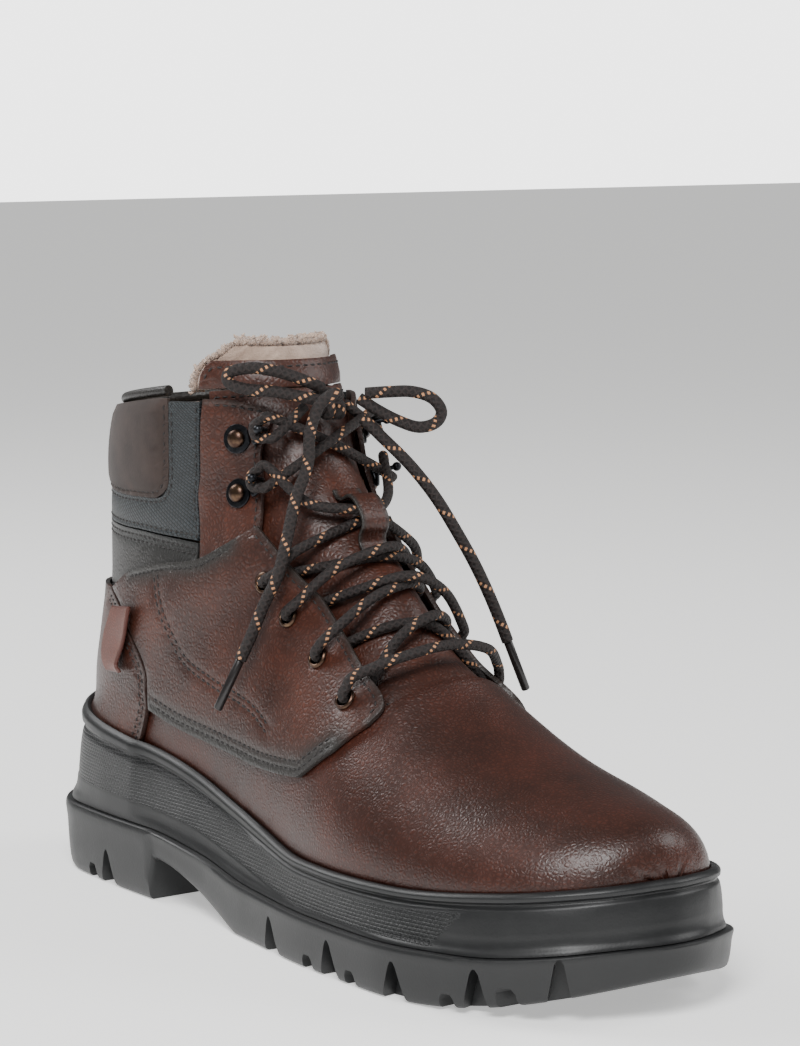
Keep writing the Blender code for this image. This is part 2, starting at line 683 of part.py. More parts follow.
def side_places(points, side, lean=0.0):
    """Points in mm on the outer side as (u, w) on the closed rows."""
    return [(u + lean, (v + 1) if side < 0 else (v - 1)) for u, v in on_side(points, side)]


REAR_BAND_LOW = ((-35, 51.2, 113.5), (-35, 74, 110.5), (-33.5, 97, 106), (-24, 125, 100.5), (-9, 140, 98.5))
REAR_BAND_HIGH = ((-34, 54.7, 126.3), (-35, 74, 126.5), (-34, 95, 126.8), (-25, 122, 127), (-9, 138, 127))
OVERLAY_LOW = ((-33.5, 58, 131), (-34, 62, 128.2), (-35, 74, 127.7), (-34, 95, 127.7), (-25, 122, 127.8), (-9, 138, 127.8))
OVERLAY_UP = ((-33.5, 57.6, 133), (-33, 57.6, 141), (-32, 56.7, 150), (-32, 56.7, 166), (-32.3, 56.2, 174.3))
OVERLAY_BACK = ((-36, 70.5, 173.6), (-35.5, 71, 158), (-35, 71.5, 147), (-35, 74, 142), (-34.5, 79, 139.6),
                (-34, 95, 138.8), (-25, 121, 138.8), (-9, 137, 138.8))
COLLAR_LOW = ((-35.4, 72, 158), (-35, 72.6, 148), (-35, 75, 143), (-34.5, 80, 140.6), (-34, 95, 139.7),
              (-25, 121, 139.7), (-9, 137, 139.7))


def around_back(points):
    """A line given on the outer side, carried round the heel to the inner side."""
    outer = side_places(points, -1)
    inner = side_places(points, 1)
    return outer + inner[::-1]


def wrapped_panel(name, material, outline, lift, thickness=LEATHER):
    tidy = []
    for u, w in outline:
        here = wrap_at(u, w, 0)
        if tidy and np.linalg.norm(here - wrap_at(*tidy[-1], 0)) < 2.5:
            continue
        tidy.append((u, w))
    return cut_panel(name, material, tidy, lift, thickness, place=wrap_at)


def rear_band(material):
    low = ring_curve(around_back(REAR_BAND_LOW))
    high = ring_curve(around_back(REAR_BAND_HIGH))
    return wrapped_panel("rear_band", material, low + high[::-1], -LEATHER)


def collar_overlay(material):
    low = ring_curve(side_places(OVERLAY_UP[::-1], -1) + around_back(OVERLAY_LOW) + side_places(OVERLAY_UP, 1))
    high = ring_curve(side_places(OVERLAY_BACK, -1) + side_places(OVERLAY_BACK, 1)[::-1])
    return wrapped_panel("collar_overlay", material, low + high[::-1], -LEATHER)


def collar_panel(material):
    low = ring_curve(around_back(((-36, 71.6, 172.8),) + COLLAR_LOW))
    top = [(0.984, w) for w in np.linspace(low[-1][1], low[0][1], 26)[1:-1]]
    return wrapped_panel("collar_panel", material, low + top, -LEATHER)


def backstay(material):
    us = np.linspace(0.684, 0.790, 9)
    ws = np.linspace(-0.055, 0.055, 5)
    return grid_panel("backstay", material, us, ws, LAP + LEATHER + 0.5, 1.2, wrap_at)


def top_binding(material):
    places = [(0.988, w) for w in np.linspace(-0.56, 0.56, 27)]
    route = [wrap_at(u, w, -3.6) + np.array([0, 0, 2.0]) for u, w in places]
    return tube("top_binding", material, route, 1.9)


# ---------------------------------------------------------------- tongue
def tongue_half_width(u):
    return float(smooth((0.43, 0.48, 0.60, 0.80, 1.0, 1.09, 1.13), (0.27, 0.33, 0.27, 0.29, 0.30, 0.27, 0.20), u))


def flap_half_width(u):
    """Half width of the tongue's folding top, which is wider than the part between the facings."""
    return float(smooth((0.998, 1.03, 1.065, 1.095, 1.13), (0.365, 0.355, 0.325, 0.26, 0.20), u))


def tongue_lift(u):
    return float(smooth((0.43, 0.50, 1.15), (-3.6, -6.1, -6.1), u))


TONGUE_ROWS = (0.432, 0.466, 0.50, 0.535, 0.57, 0.60, 0.63, 0.66, 0.69, 0.73, 0.77, 0.82, 0.87, 0.93, 0.99,
               0.998, 1.03, 1.065, 1.095, 1.13)


def tongue_layer(name, material, u_from, u_to, depth, thickness, spare=0.0):
    """One layer of the tongue; depth is measured below the leather's inner face."""
    us = [u for u in TONGUE_ROWS if u_from - 1e-6 <= u <= u_to + 1e-6]
    rows = len(us)
    verts, flat = [], []
    wide = flap_half_width if u_from > 0.99 else tongue_half_width
    for u in us:
        half = wide(u) - spare
        for v in np.linspace(-half, half, 9):
            verts.append(LAST.at(u, v, tongue_lift(u) - depth))
            flat.append((u, v))
    faces = []
    for i in range(rows - 1):
        for j in range(8):
            a = i * 9 + j
            faces.append((a, a + 1, a + 10, a + 9))
    mesh = mesh_from_lists(verts, faces, name)
    face_outwards(mesh, LAST.at, flat, 0, verts)
    obj = add_object(name, mesh, material)
    shell = obj.modifiers.new("thickness", "SOLIDIFY")
    shell.thickness = thickness * MM
    shell.offset = 1.0
    return obj


# ---------------------------------------------------------------- hardware
def frame_on(u, v, lift=0.0, towards=None):
    """Matrix on the last: Z is outwards, X towards the instep line (or a given direction)."""
    z = LAST.normal(u, v)
    x = LAST.at(u, v * 0.9) - LAST.at(u, v) if towards is None else towards
    x = x - z * float(np.dot(x, z))
    x /= np.linalg.norm(x)
    y = np.cross(z, x)
    m = Matrix.Identity(4)
    for k, axis in enumerate((x, y, z)):
        for r in range(3):
            m[r][k] = axis[r]
    m.translation = Vector(LAST.at(u, v, lift)) * MM
    return m


def turned(name, material, profile, matrix, steps=14):
    """Profile (radius, height) turned about local Z, outer side listed top to bottom."""
    bm = bmesh.new()
    verts = [bm.verts.new(Vector((r, 0, z)) * MM) for r, z in profile]
    for a, b in zip(verts, verts[1:]):
        bm.edges.new((a, b))
    if profile[0][0] > 0:
        bm.edges.new((verts[-1], verts[0]))
    mesh = bpy.data.meshes.new(name)
    bm.to_mesh(mesh)
    bm.free()
    obj = add_object(name, mesh, material)
    turn = obj.modifiers.new("turn", "SCREW")
    turn.steps = steps
    turn.render_steps = steps
    turn.use_merge_vertices = True
    turn.merge_threshold = 0.00001
    turn.use_smooth_shade = True
    obj.matrix_world = matrix
    return obj


def eyelet(name, material, u, v):
    top = LAP + LEATHER + TOUCH + 0.15
    low = LAP + 0.1
    r, f = EYELET_HOLE, EYELET_FLANGE
    profile = [(r + 0.35, top + 0.75), (f - 0.5, top + 0.55), (f, top), (r + 0.3, top), (r + 0.3, low),
               (r, low), (r, top + 0.4)]
    return turned(name, material, profile, frame_on(u, v))


def tube(name, material, route, radius, resolution=2, collection=PIECES):
    """Round cord or wire through a route, as a curve with filled caps."""
    curve = bpy.data.curves.new(name, "CURVE")
    curve.dimensions = "3D"
    curve.bevel_depth = radius * MM
    curve.bevel_resolution = resolution
    curve.use_fill_caps = True
    spline = curve.splines.new("POLY")
    spline.points.add(len(route) - 1)
    for point, place in zip(spline.points, route):
        point.co = (*(Vector(place) * MM), 1.0)
    spline.use_smooth = True
    return add_object(name, curve, material, collection)


def as_mesh(obj):
    """The curve object as a welded mesh object of the same name."""
    depsgraph = bpy.context.evaluated_depsgraph_get()
    depsgraph.update()
    mesh = bpy.data.meshes.new_from_object(obj.evaluated_get(depsgraph))
    bm = bmesh.new()
    bm.from_mesh(mesh)
    bmesh.ops.remove_doubles(bm, verts=bm.verts, dist=0.005 * MM)
    bm.to_mesh(mesh)
    bm.free()
    name, material = obj.name, obj.data.materials[0]
    matrix = obj.matrix_world.copy()
    group = obj.users_collection[0]
    bpy.data.objects.remove(obj, do_unlink=True)
    mesh.materials.clear()
    mesh.materials.append(material)
    made = bpy.data.objects.new(name, mesh)
    group.objects.link(made)
    made.matrix_world = matrix
    return made


PLATE_RADIUS = 5.0
CHORD = 4.6                   # plate's straight front edge, ahead of the rivet
PIVOT = 6.2                   # hook frame's pivot, ahead of the rivet
TIP = 12.0                    # hook's post, ahead of the rivet
WIRE = 0.8
PLATE_LIFT = 0.35


def hook_plate(name, material, matrix):
    """D-shaped plate: a round outline cut straight across at the chord, with a rivet hole."""
    corner = math.acos(CHORD / PLATE_RADIUS)
    arc = [corner + (2 * math.pi - 2 * corner) * k / 16 for k in range(17)]
    outline = [(PLATE_RADIUS * math.cos(a), PLATE_RADIUS * math.sin(a)) for a in arc]
    curve = bpy.data.curves.new(name, "CURVE")
    curve.dimensions = "2D"
    curve.fill_mode = "BOTH"
    curve.extrude = 0.45 * MM
    hole = [(1.9 * math.cos(a), 1.9 * math.sin(a)) for a in np.linspace(0, 2 * math.pi, 11)[:-1]]
    for loop in (outline, hole):
        spline = curve.splines.new("POLY")
        spline.points.add(len(loop) - 1)
        for point, (x, y) in zip(spline.points, loop):
            point.co = (x * MM, y * MM, 0.0, 1.0)
        spline.use_cyclic_u = True
    obj = add_object(name, curve, material)
    obj.matrix_world = matrix @ Matrix.Translation((0, 0, (PLATE_LIFT + 0.45) * MM))
    return as_mesh(obj)


def hook_frame(name, material, matrix):
    """Wire bent to a triangle that pivots on the plate, with a post and ball at its tip."""
    lift = PLATE_LIFT + WIRE + 0.1
    half = 3.3
    loop = [(TIP, 0.0, 8.6), (TIP, 0.0, 5.0), (TIP, 0.0, 2.6), (TIP - 0.7, 0.35, lift + 0.15),
            (TIP - 2.2, 1.1, lift), (PIVOT + 1.0, half - 0.3, lift), (PIVOT, half - 0.6, lift),
            (PIVOT, 0.0, lift), (PIVOT, -half + 0.6, lift), (PIVOT + 1.0, -half + 0.3, lift),
            (TIP - 2.6, -1.9, lift)]
    wire = as_mesh(tube(name, material, loop, WIRE))
    ball_mesh = bpy.data.meshes.new(name + "_ball")
    bm = bmesh.new()
    bmesh.ops.create_uvsphere(bm, u_segments=12, v_segments=8, radius=1.6 * MM)
    bmesh.ops.translate(bm, verts=bm.verts, vec=Vector((TIP, 0.0, 8.2)) * MM)
    bm.to_mesh(ball_mesh)
    bm.free()
    ball = add_object(name + "_ball", ball_mesh, None, CUTTERS)
    union = wire.modifiers.new("ball", "BOOLEAN")
    union.operation = "UNION"
    union.object = ball
    wire.matrix_world = matrix
    ball.matrix_world = matrix
    return wire


def hook_rivet(name, material, matrix):
    profile = [(0.0, 3.1), (1.6, 2.8), (2.7, 2.1), (3.2, PLATE_LIFT + 1.2), (1.5, PLATE_LIFT + 1.2),
               (1.5, -LEATHER - 0.35), (2.6, -LEATHER - 0.35), (2.4, -LEATHER - 0.9), (0.0, -LEATHER - 0.9)]
    return turned(name, material, profile, matrix)


# ---------------------------------------------------------------- lace
def on_last(route):
    return [LAST.at(u, v, lift) for u, v, lift in route]


def hook_turn(u, v, upward):
    """The lace's turn behind a hook's post, from its lower to its upper side."""
    matrix = frame_on(u, v)
    side = -1 if v < 0 else 1
    sign = 1.0 if upward else -1.0
    local = ((TIP + 4.0, -3.0, 3.4), (TIP + 0.5, -3.1, 4.4), (TIP - 2.4, -2.2, 4.7), (TIP - 3.4, 0.0, 4.7),
             (TIP - 2.4, 2.2, 4.7), (TIP + 0.5, 3.1, 4.4), (TIP + 4.0, 3.0, 3.4))
    points = [np.array(matrix @ (Vector((x, y * sign * side, z)) * MM)) / MM for x, y, z in local]
    return points


def eyelet_rise(k, side):
    """Lace coming up through an eyelet and over the facing's front edge."""
    u, v = EYELET_PLACES[k]
    matrix = frame_on(u, side * v)
    local = ((7.0, 0.0, -2.0), (2.2, 0.0, -2.0), (0.3, 0.0, -0.9), (0.0, 0.0, 1.2), (0.0, 0.0, 3.4),
             (1.1, 0.0, 4.9), (3.6, 0.0, 5.5), (8.0, 0.0, 5.7))
    return [np.array(matrix @ (Vector(p) * MM)) / MM for p in local]


def strand(first_side, over):
    """One half of the lacing, from its first eyelet up to the knot."""
    side = first_side
    lift = 2.2 if over else -1.8
    route = eyelet_rise(0, side)[::-1][1:]
    for k in (1, 2, 3):
        low, high = EYELET_PLACES[k - 1][0], EYELET_PLACES[k][0]
        start = lift - 0.4 if k == 1 else max(lift, 0.0) + 1.8
        route += on_last([(low + 0.30 * (high - low), side * 0.13, start),
                          (0.5 * (low + high), 0.0, lift),
                          (low + 0.72 * (high - low), -side * 0.13, min(lift, 0.0) - 0.4)])
        side = -side
        route += eyelet_rise(k, side)
    route += on_last([(0.640, side * 0.15, 3.6), (KEEPER_U, 0.0, lift), (0.705, -side * 0.09, 2.0)])
    side = -side
    route += hook_turn(*signed(HOOK_PLACES[0], side), True)
    route += on_last([(0.832, 0.0, lift)])
    side = -side
    route += hook_turn(*signed(HOOK_PLACES[1], side), True)
    route += on_last([(KNOT_U, side * KNOT_HALF, 2.6)])
    return route


def signed(place, side):
    return place[0], side * place[1]


KEEPER_U = 0.668
KNOT_U = 0.925
KNOT_HALF = 0.052


def lacing(material):
    """The laced length in one piece: two strands from the knot, joined by the bar at the bottom."""
    left, right = strand(-1, True), strand(1, False)
    bar_left = eyelet_rise(0, -1)[-1:]
    bar_right = eyelet_rise(0, 1)[-1:]
    bar = bar_left + on_last([(0.474, -0.16, 5.6), (0.472, 0.0, 4.4), (0.474, 0.16, 5.6)]) + bar_right
    route = left[::-1] + bar + right
    return tube("lacing", material, through(np.array(route), per_span=2), LACE_RADIUS)


def knot(material):
    bm = bmesh.new()
    bmesh.ops.create_uvsphere(bm, u_segments=16, v_segments=10, radius=1.0)
    bmesh.ops.scale(bm, verts=bm.verts, vec=Vector((5.4, 6.6, 4.6)) * MM)
    mesh = mesh_from_bmesh(bm, "lace_knot")
    obj = add_object("lace_knot", mesh, material)
    obj.matrix_world = frame_on(KNOT_U, -0.0001, 2.4)
    return obj


# Free lace, in mm before the centre shift, chosen by hand.
LOOP_OUTER = ((-5.5, 21.5, 180.0), (-11, 22.5, 182.5), (-18, 27.5, 185.5), (-25, 33.5, 187.0), (-31, 39.0, 185.5),
              (-31.8, 38.5, 182.0), (-28, 34.0, 180.0), (-21, 27.5, 179.3), (-13, 21.5, 177.4), (-7.6, 19.4, 176.0))
LOOP_INNER = ((5.6, 15.8, 176.5), (10, 11.0, 172.5), (15, 6.0, 169.0), (20, 1.5, 167.0), (24.5, -2.0, 168.5),
              (26, -3.2, 172.5), (23, -1.5, 177.0), (18, 3.0, 179.0), (12.5, 8.5, 178.8), (7.0, 14.0, 178.2))
END_OUTER = ((-3.4, 15.0, 177.8), (-8.0, 11.5, 179.0), (-12.5, 13.5, 175.0), (-15.5, 14.5, 166.0), (-18.5, 11.5, 156.0),
             (-24.5, 10.0, 145.0), (-30.0, 7.0, 133.0), (-34.0, 6.6, 121.0), (-36.0, 12.0, 110.5), (-39.5, 14.5, 100.0),
             (-42.6, 16.5, 92.0))
END_INNER = ((4.8, 12.5, 170.0), (9.5, 7.6, 163.5), (16.0, 1.0, 154.5), (22.0, -5.0, 144.0), (27.5, -9.5, 132.5),
             (32.5, -13.0, 121.5), (36.5, -15.5, 111.5), (40.0, -17.0, 102.5), (43.0, -18.0, 94.5))
AGLET_LENGTH = 18.0


def shifted(route):
    return [np.array(p, float) + np.array([CENTRE_SHIFT, 0, 0]) for p in route]


def free_lace(name, material, route):
    fine = evenly(through(np.array(shifted(route))), 3.0 * FREE_LACE_RADIUS)
    return tube(name, material, fine, FREE_LACE_RADIUS)


def aglet(name, material, route):
    """Hard tip crimped on the end of the lace, in line with its last stretch."""
    last, before = shifted(route)[-1], shifted(route)[-2]
    along = (last - before) / np.linalg.norm(last - before)
    start = last + along * TOUCH
    stop = start + along * AGLET_LENGTH
    return tube(name, material, [start, 0.5 * (start + stop), stop], 1.5)


def keeper(material):
    """Leather strap over the crossing on the tongue, flat at both ends."""
    matrix = frame_on(KEEPER_U, -0.0001, 0.0)
    bottom = -6.1 + LEATHER + TOUCH + 1.45
    centre = ((-9.0, bottom + 0.6), (-6.6, bottom + 0.9), (-5.2, bottom + 3.0), (-4.6, 3.0), (-3.0, 4.9), (0.0, 5.4),
              (3.0, 4.9), (4.6, 3.0), (5.2, bottom + 3.0), (6.6, bottom + 0.9), (9.0, bottom + 0.6))
    bm = bmesh.new()
    rows = []
    for t, h in centre:
        rows.append([bm.verts.new(matrix @ (Vector((x, t * 1.45, h)) * MM)) for x in (-5.5, 0.0, 5.5)])
    for a, b in zip(rows, rows[1:]):
        for k in range(2):
            bm.faces.new((a[k], a[k + 1], b[k + 1], b[k]))
    mesh = mesh_from_bmesh(bm, "lace_keeper")
    obj = add_object("lace_keeper", mesh, material)
    shell = obj.modifiers.new("thickness", "SOLIDIFY")
    shell.thickness = 1.1 * MM
    shell.offset = 0.0
    return obj


# ---------------------------------------------------------------- label tab
TAB_EDGE = ((-34.5, 101.5, 98.5), (-37, 103, 76.0))   # the seam that it is sewn into


def side_tab(material):
    """Plain leather flag sewn in by its rear edge."""
    top, low = [LAST.find(np.array([x + CENTRE_SHIFT, y, z], float), -1) for x, y, z in TAB_EDGE]
    bm = bmesh.new()
    rows = []
    for k in range(6):
        s = k / 5
        edge_u, edge_v = top[0] + (low[0] - top[0]) * s, top[1] + (low[1] - top[1]) * s
        reach = 0.72 + 0.28 * math.sin(math.pi * min(1.0, s + 0.15))
        row = []
        for j in range(4):
            place = LAST.at(edge_u, edge_v, 4.6 + 0.35 * j)
            row.append(bm.verts.new(Vector(place + np.array([-0.10, -1.0, 0.10]) * reach * 6.6 * j) * MM))
        rows.append(row)
    for a, b in zip(rows, rows[1:]):
        for j in range(3):
            bm.faces.new((a[j], a[j + 1], b[j + 1], b[j]))
    bmesh.ops.recalc_face_normals(bm, faces=bm.faces)
    mesh = mesh_from_bmesh(bm, "side_tab")
    obj = add_object("side_tab", mesh, material)
    shell = obj.modifiers.new("thickness", "SOLIDIFY")
    shell.thickness = 1.4 * MM
    shell.offset = 0.0
    return obj


# ---------------------------------------------------------------- build
def build_sole(rubber, foam, steel, board, pile):
    outsole(rubber)
    midsole(rubber)
    slab("shank", steel, 0, BOARD_DROP - TOUCH, 1.6, -40.0, 75.0)
    slab("insole_board", board, 1.2, BOARD_DROP - 2.3, 2.0)
    slab("footbed", pile, 18.0, BOARD_DROP - 4.7, 5.0)
    del foam


def build_linings(pile, board, foam):
    toe_us = np.array([0.036, 0.06, 0.10, 0.15, 0.21, 0.27, 0.33, 0.38, 0.425])
    grid_panel("vamp_lining", pile, toe_us, np.linspace(-0.96, 0.96, 17), -9.0, FLEECE)
    fan = np.array([0.475, 0.52, 0.56, 0.60, 0.632, 0.652])
    grid_panel("quarter_lining_outer", pile, fan, np.linspace(-0.93, -0.36, 8), -9.9, FLEECE)
    grid_panel("quarter_lining_inner", pile, fan, np.linspace(0.36, 0.90, 8), -9.9, FLEECE)
    rows = np.array([0.668, 0.70, 0.74, 0.79, 0.85, 0.91, 0.972])
    grid_panel("shaft_lining", pile, rows, np.linspace(-0.64, 0.64, 23), -9.9, FLEECE, wrap_at)
    grid_panel("heel_stiffener", board, np.linspace(0.668, 0.78, 6), np.linspace(-0.42, 0.42, 15), -4.4, 2.0, wrap_at)
    grid_panel("toe_puff", board, np.array([0.07, 0.09, 0.12, 0.15, 0.19]), np.linspace(-0.85, 0.85, 17), -4.4, 1.0)
    grid_panel("collar_padding", foam, np.linspace(0.80, 0.965, 6), np.linspace(-0.60, 0.60, 21), -5.5, 2.4, wrap_at)


def build_upper(leather, dark, nubuck, mesh_cloth):
    vamp(leather)
    for word, side in (("outer", -1), ("inner", 1)):
        quarter("quarter_" + word, leather, side)
        shaft_panel("shaft_panel_" + word, leather, side)
        heel_cover("heel_cover_" + word, leather, side)
    rear_band(leather)
    backstay(dark)
    collar_overlay(mesh_cloth)
    collar_panel(nubuck)
    top_binding(dark)


def build_tongue(leather, foam, pile):
    tongue_layer("tongue", leather, 0.432, 0.99, 0.0, LEATHER)
    tongue_layer("tongue_padding", foam, 0.50, 0.99, 3.5, 2.6, 0.02)
    tongue_layer("tongue_lining", pile, 0.466, 0.99, 7.9, 3.6)
    tongue_layer("tongue_top", leather, 0.998, 1.095, 0.0, LEATHER)
    tongue_layer("tongue_top_lining", pile, 0.998, 1.13, 5.0, 4.2, -0.03)
    keeper(leather)


def build_hardware(metal, dark_metal):
    for word, side in (("outer", -1), ("inner", 1)):
        for k, (u, v) in enumerate(EYELET_PLACES):
            eyelet("eyelet_%s_%d" % (word, k + 1), metal, u, side * v)
        for level, (u, v) in zip(("lower", "upper"), HOOK_PLACES):
            matrix = frame_on(u, side * v)
            tag = "%s_%s" % (word, level)
            hook_plate("hook_plate_" + tag, dark_metal, matrix)
            hook_frame("hook_frame_" + tag, dark_metal, matrix)
            hook_rivet("hook_rivet_" + tag, metal, matrix)


def build_lace(lace, plastic):
    lacing(lace)
    knot(lace)
    free_lace("lace_loop_outer", lace, LOOP_OUTER)
    free_lace("lace_loop_inner", lace, LOOP_INNER)
    free_lace("lace_end_outer", lace, END_OUTER)
    free_lace("lace_end_inner", lace, END_INNER)
    aglet("aglet_outer", plastic, END_OUTER)
    aglet("aglet_inner", plastic, END_INNER)


def main():
    empty_scene()
    rubber = finish("sole rubber", (0.035, 0.037, 0.040), 0.55)
    leather = finish("milled leather", (0.085, 0.032, 0.022), 0.42)
    dark = finish("burnished leather", (0.035, 0.033, 0.032), 0.45)
    nubuck = finish("nubuck", (0.045, 0.032, 0.028), 0.85)
    cloth = finish("embossed synthetic", (0.028, 0.035, 0.042), 0.6)
    pile = finish("fleece pile", (0.45, 0.33, 0.26), 0.95)
    foam = finish("foam padding", (0.6, 0.58, 0.5), 0.9)
    board = finish("fibre board", (0.35, 0.27, 0.18), 0.8)
    steel = finish("shank steel", (0.45, 0.45, 0.47), 0.35, 1.0)
    metal = finish("bronzed metal", (0.16, 0.11, 0.09), 0.35, 1.0)
    gun = finish("gunmetal", (0.06, 0.06, 0.065), 0.35, 1.0)
    lace = finish("braided lace", (0.03, 0.025, 0.023), 0.7)
    plastic = finish("aglet plastic", (0.03, 0.03, 0.032), 0.3)
    tab = finish("label leather", (0.20, 0.075, 0.045), 0.5)
    build_sole(rubber, foam, steel, board, pile)
    build_linings(pile, board, foam)
    build_upper(leather, dark, nubuck, cloth)
    build_tongue(leather, foam, pile)
    build_hardware(metal, gun)
    build_lace(lace, plastic)
    side_tab(tab)


main()
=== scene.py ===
"""Looks of an insulated lace-up winter boot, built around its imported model.

Sizes and places are millimetres in the model's own frame (+Z up, toe towards -Y, outer side of the
foot towards -X) and become metres when a mesh is made.
"""
import logging
import math
from dataclasses import dataclass, field
from enum import Enum
from typing import Any, Callable, Optional, Sequence

import bmesh
import bpy
import numpy as np
from mathutils import Matrix, Vector, bvhtree, geometry, noise


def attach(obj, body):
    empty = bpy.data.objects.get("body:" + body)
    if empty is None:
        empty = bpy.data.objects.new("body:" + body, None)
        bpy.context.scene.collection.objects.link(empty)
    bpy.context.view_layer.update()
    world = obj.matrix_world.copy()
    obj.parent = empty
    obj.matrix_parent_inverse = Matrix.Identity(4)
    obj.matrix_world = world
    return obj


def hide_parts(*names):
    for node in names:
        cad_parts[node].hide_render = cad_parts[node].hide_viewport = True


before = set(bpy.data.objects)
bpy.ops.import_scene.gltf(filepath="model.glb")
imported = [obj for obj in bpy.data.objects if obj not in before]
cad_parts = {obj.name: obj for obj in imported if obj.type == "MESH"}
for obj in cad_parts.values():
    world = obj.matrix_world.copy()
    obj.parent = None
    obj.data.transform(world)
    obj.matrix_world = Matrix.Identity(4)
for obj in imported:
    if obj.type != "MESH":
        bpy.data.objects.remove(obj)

MM = 0.001
LOG = logging.getLogger("boot")
Array = np.ndarray
Object = bpy.types.Object


class Side(Enum):
    """Side of the foot, as the sign of x."""

    OUTER = -1
    INNER = 1

    @property
    def word(self) -> str:
        """The side's name as the model's nodes spell it."""
        return self.name.lower()


class Body(Enum):
    """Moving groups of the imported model."""

    BOOT = "boot"
    FOOTBED = "footbed"
    TONGUE_FLAP = "tongue_flap"
    LABEL = "label_tab"


# ---------------------------------------------------------------- numbers and curves
def smooth(knots: Sequence[float], values: Sequence[float], x: Any) -> Array:
    """Shape-preserving cubic through knots.

    Args:
        knots: rising places.
        values: value at each knot.
        x: where to read the curve, a number or an array.

    Returns:
        The curve's value at x.
    """
    k = np.asarray(knots, float)
    v = np.asarray(values, float)
    h = np.diff(k)
    d = np.diff(v) / h
    slope = np.zeros(len(k))
    same = d[:-1] * d[1:] > 0
    w1 = 2 * h[1:] + h[:-1]
    w2 = h[1:] + 2 * h[:-1]
    inner = np.zeros(len(d) - 1)
    inner[same] = (w1 + w2)[same] / (w1[same] / d[:-1][same] + w2[same] / d[1:][same])
    slope[1:-1] = inner
    slope[0] = d[0]
    slope[-1] = d[-1]
    x = np.clip(np.asarray(x, float), k[0], k[-1])
    i = np.clip(np.searchsorted(k, x, side="right") - 1, 0, len(h) - 1)
    t = (x - k[i]) / h[i]
    start = (1 + 2 * t) * (1 - t) ** 2 * v[i] + t * (1 - t) ** 2 * h[i] * slope[i]
    stop = t * t * (3 - 2 * t) * v[i + 1] + t * t * (t - 1) * h[i] * slope[i + 1]
    return start + stop


def through(points: Any, closed: bool = False, per_span: int = 10) -> Array:
    """Smooth curve through chosen points.

    Args:
        points: the route's own points.
        closed: whether the curve joins its start.
        per_span: points made for each span.

    Returns:
        Points along the curve.
    """
    p = np.asarray(points, float)
    n = len(p)
    spans = n if closed else n - 1
    t = (np.arange(per_span) / per_span)[:, None]
    out = []
    for i in range(spans):
        b, c = p[i], p[(i + 1) % n]
        a = p[(i - 1) % n] if closed or i > 0 else 2 * b - c
        d = p[(i + 2) % n] if closed or i + 2 < n else 2 * c - b
        out.append(0.5 * (2 * b + (c - a) * t + (2 * a - 5 * b + 4 * c - d) * t * t + (3 * b - a - 3 * c + d) * t **
            3))
    if not closed:
        out.append(p[-1:])
    return np.concatenate(out)


def run_length(points: Array) -> Array:
    """Distance travelled along a line of points, at each of them."""
    return np.concatenate([[0.0], np.cumsum(np.linalg.norm(np.diff(points, axis=0), axis=1))])


def read_at(points: Array, s: Array, t: Array) -> Array:
    """A line's points at distances t, where s is the distance of each of its own."""
    return np.stack([np.interp(t, s, points[:, k]) for k in range(points.shape[1])], -1)


def ticks(s: Array, step: float) -> Array:
    """Distances along a line about every step."""
    return np.linspace(0, s[-1], max(2, int(round(s[-1] / step)) + 1))


def evenly(points: Array, step: float) -> Array:
    """The same curve with a point about every step."""
    s = run_length(points)
    return read_at(points, s, ticks(s, step))


def evenly_counted(points: Array, count: int) -> Array:
    """The same curve with a set number of points."""
    s = run_length(points)
    return read_at(points, s, np.linspace(0, s[-1], count))


def unit(v: Array) -> Array:
    """Vectors scaled to length one."""
    return v / (np.linalg.norm(v, axis=-1, keepdims=True) + 1e-12)


def spread(shape: tuple, seed: int) -> Array:
    """Repeatable even random numbers from 0 to 1."""
    return np.random.default_rng(seed).random(shape)


# ---------------------------------------------------------------- meshes
def solid(name: str, verts: Array, faces: list, finish: "Finish", sharp: float = 50.0) -> Object:
    """Mesh object from points in millimetres.

    Args:
        name: the object's name.
        verts: its points.
        faces: tuples of point numbers.
        finish: the finish it is dressed in.
        sharp: edges bent more than this many degrees stay crisp.

    Returns:
        The object, linked to the scene.
    """
    mesh = bpy.data.meshes.new(name)
    mesh.from_pydata((np.asarray(verts, float) * MM).tolist(), [], [tuple(int(i) for i in f) for f in faces])
    mesh.validate()
    mesh.shade_smooth()
    mesh.set_sharp_from_angle(angle=math.radians(sharp))
    mesh.materials.append(finish.material())
    obj = bpy.data.objects.new(name, mesh)
    bpy.context.scene.collection.objects.link(obj)
    return obj


def write_value(obj: Object, name: str, values: Array) -> None:
    """Stores one number per point under a name that materials read."""
    made = obj.data.attributes.new(name, "FLOAT", "POINT")
    made.data.foreach_set("value", np.asarray(values, np.float32))


def write_uv(obj: Object, name: str, uv: Array) -> None:
    """Stores flat places, one per point, as a UV map in millimetres."""
    layer = obj.data.uv_layers.new(name=name)
    index = np.empty(len(obj.data.loops), np.int32)
    obj.data.loops.foreach_get("vertex_index", index)
    layer.data.foreach_set("uv", np.asarray(uv, np.float32)[index].ravel())


def settle(obj: Object) -> Object:
    """Applies an object's modifiers, so that the mesh is its final shape."""
    graph = bpy.context.evaluated_depsgraph_get()
    graph.update()
    mesh = bpy.data.meshes.new_from_object(obj.evaluated_get(graph), preserve_all_data_layers=True, depsgraph=graph)
    obj.modifiers.clear()
    obj.data = mesh
    return obj


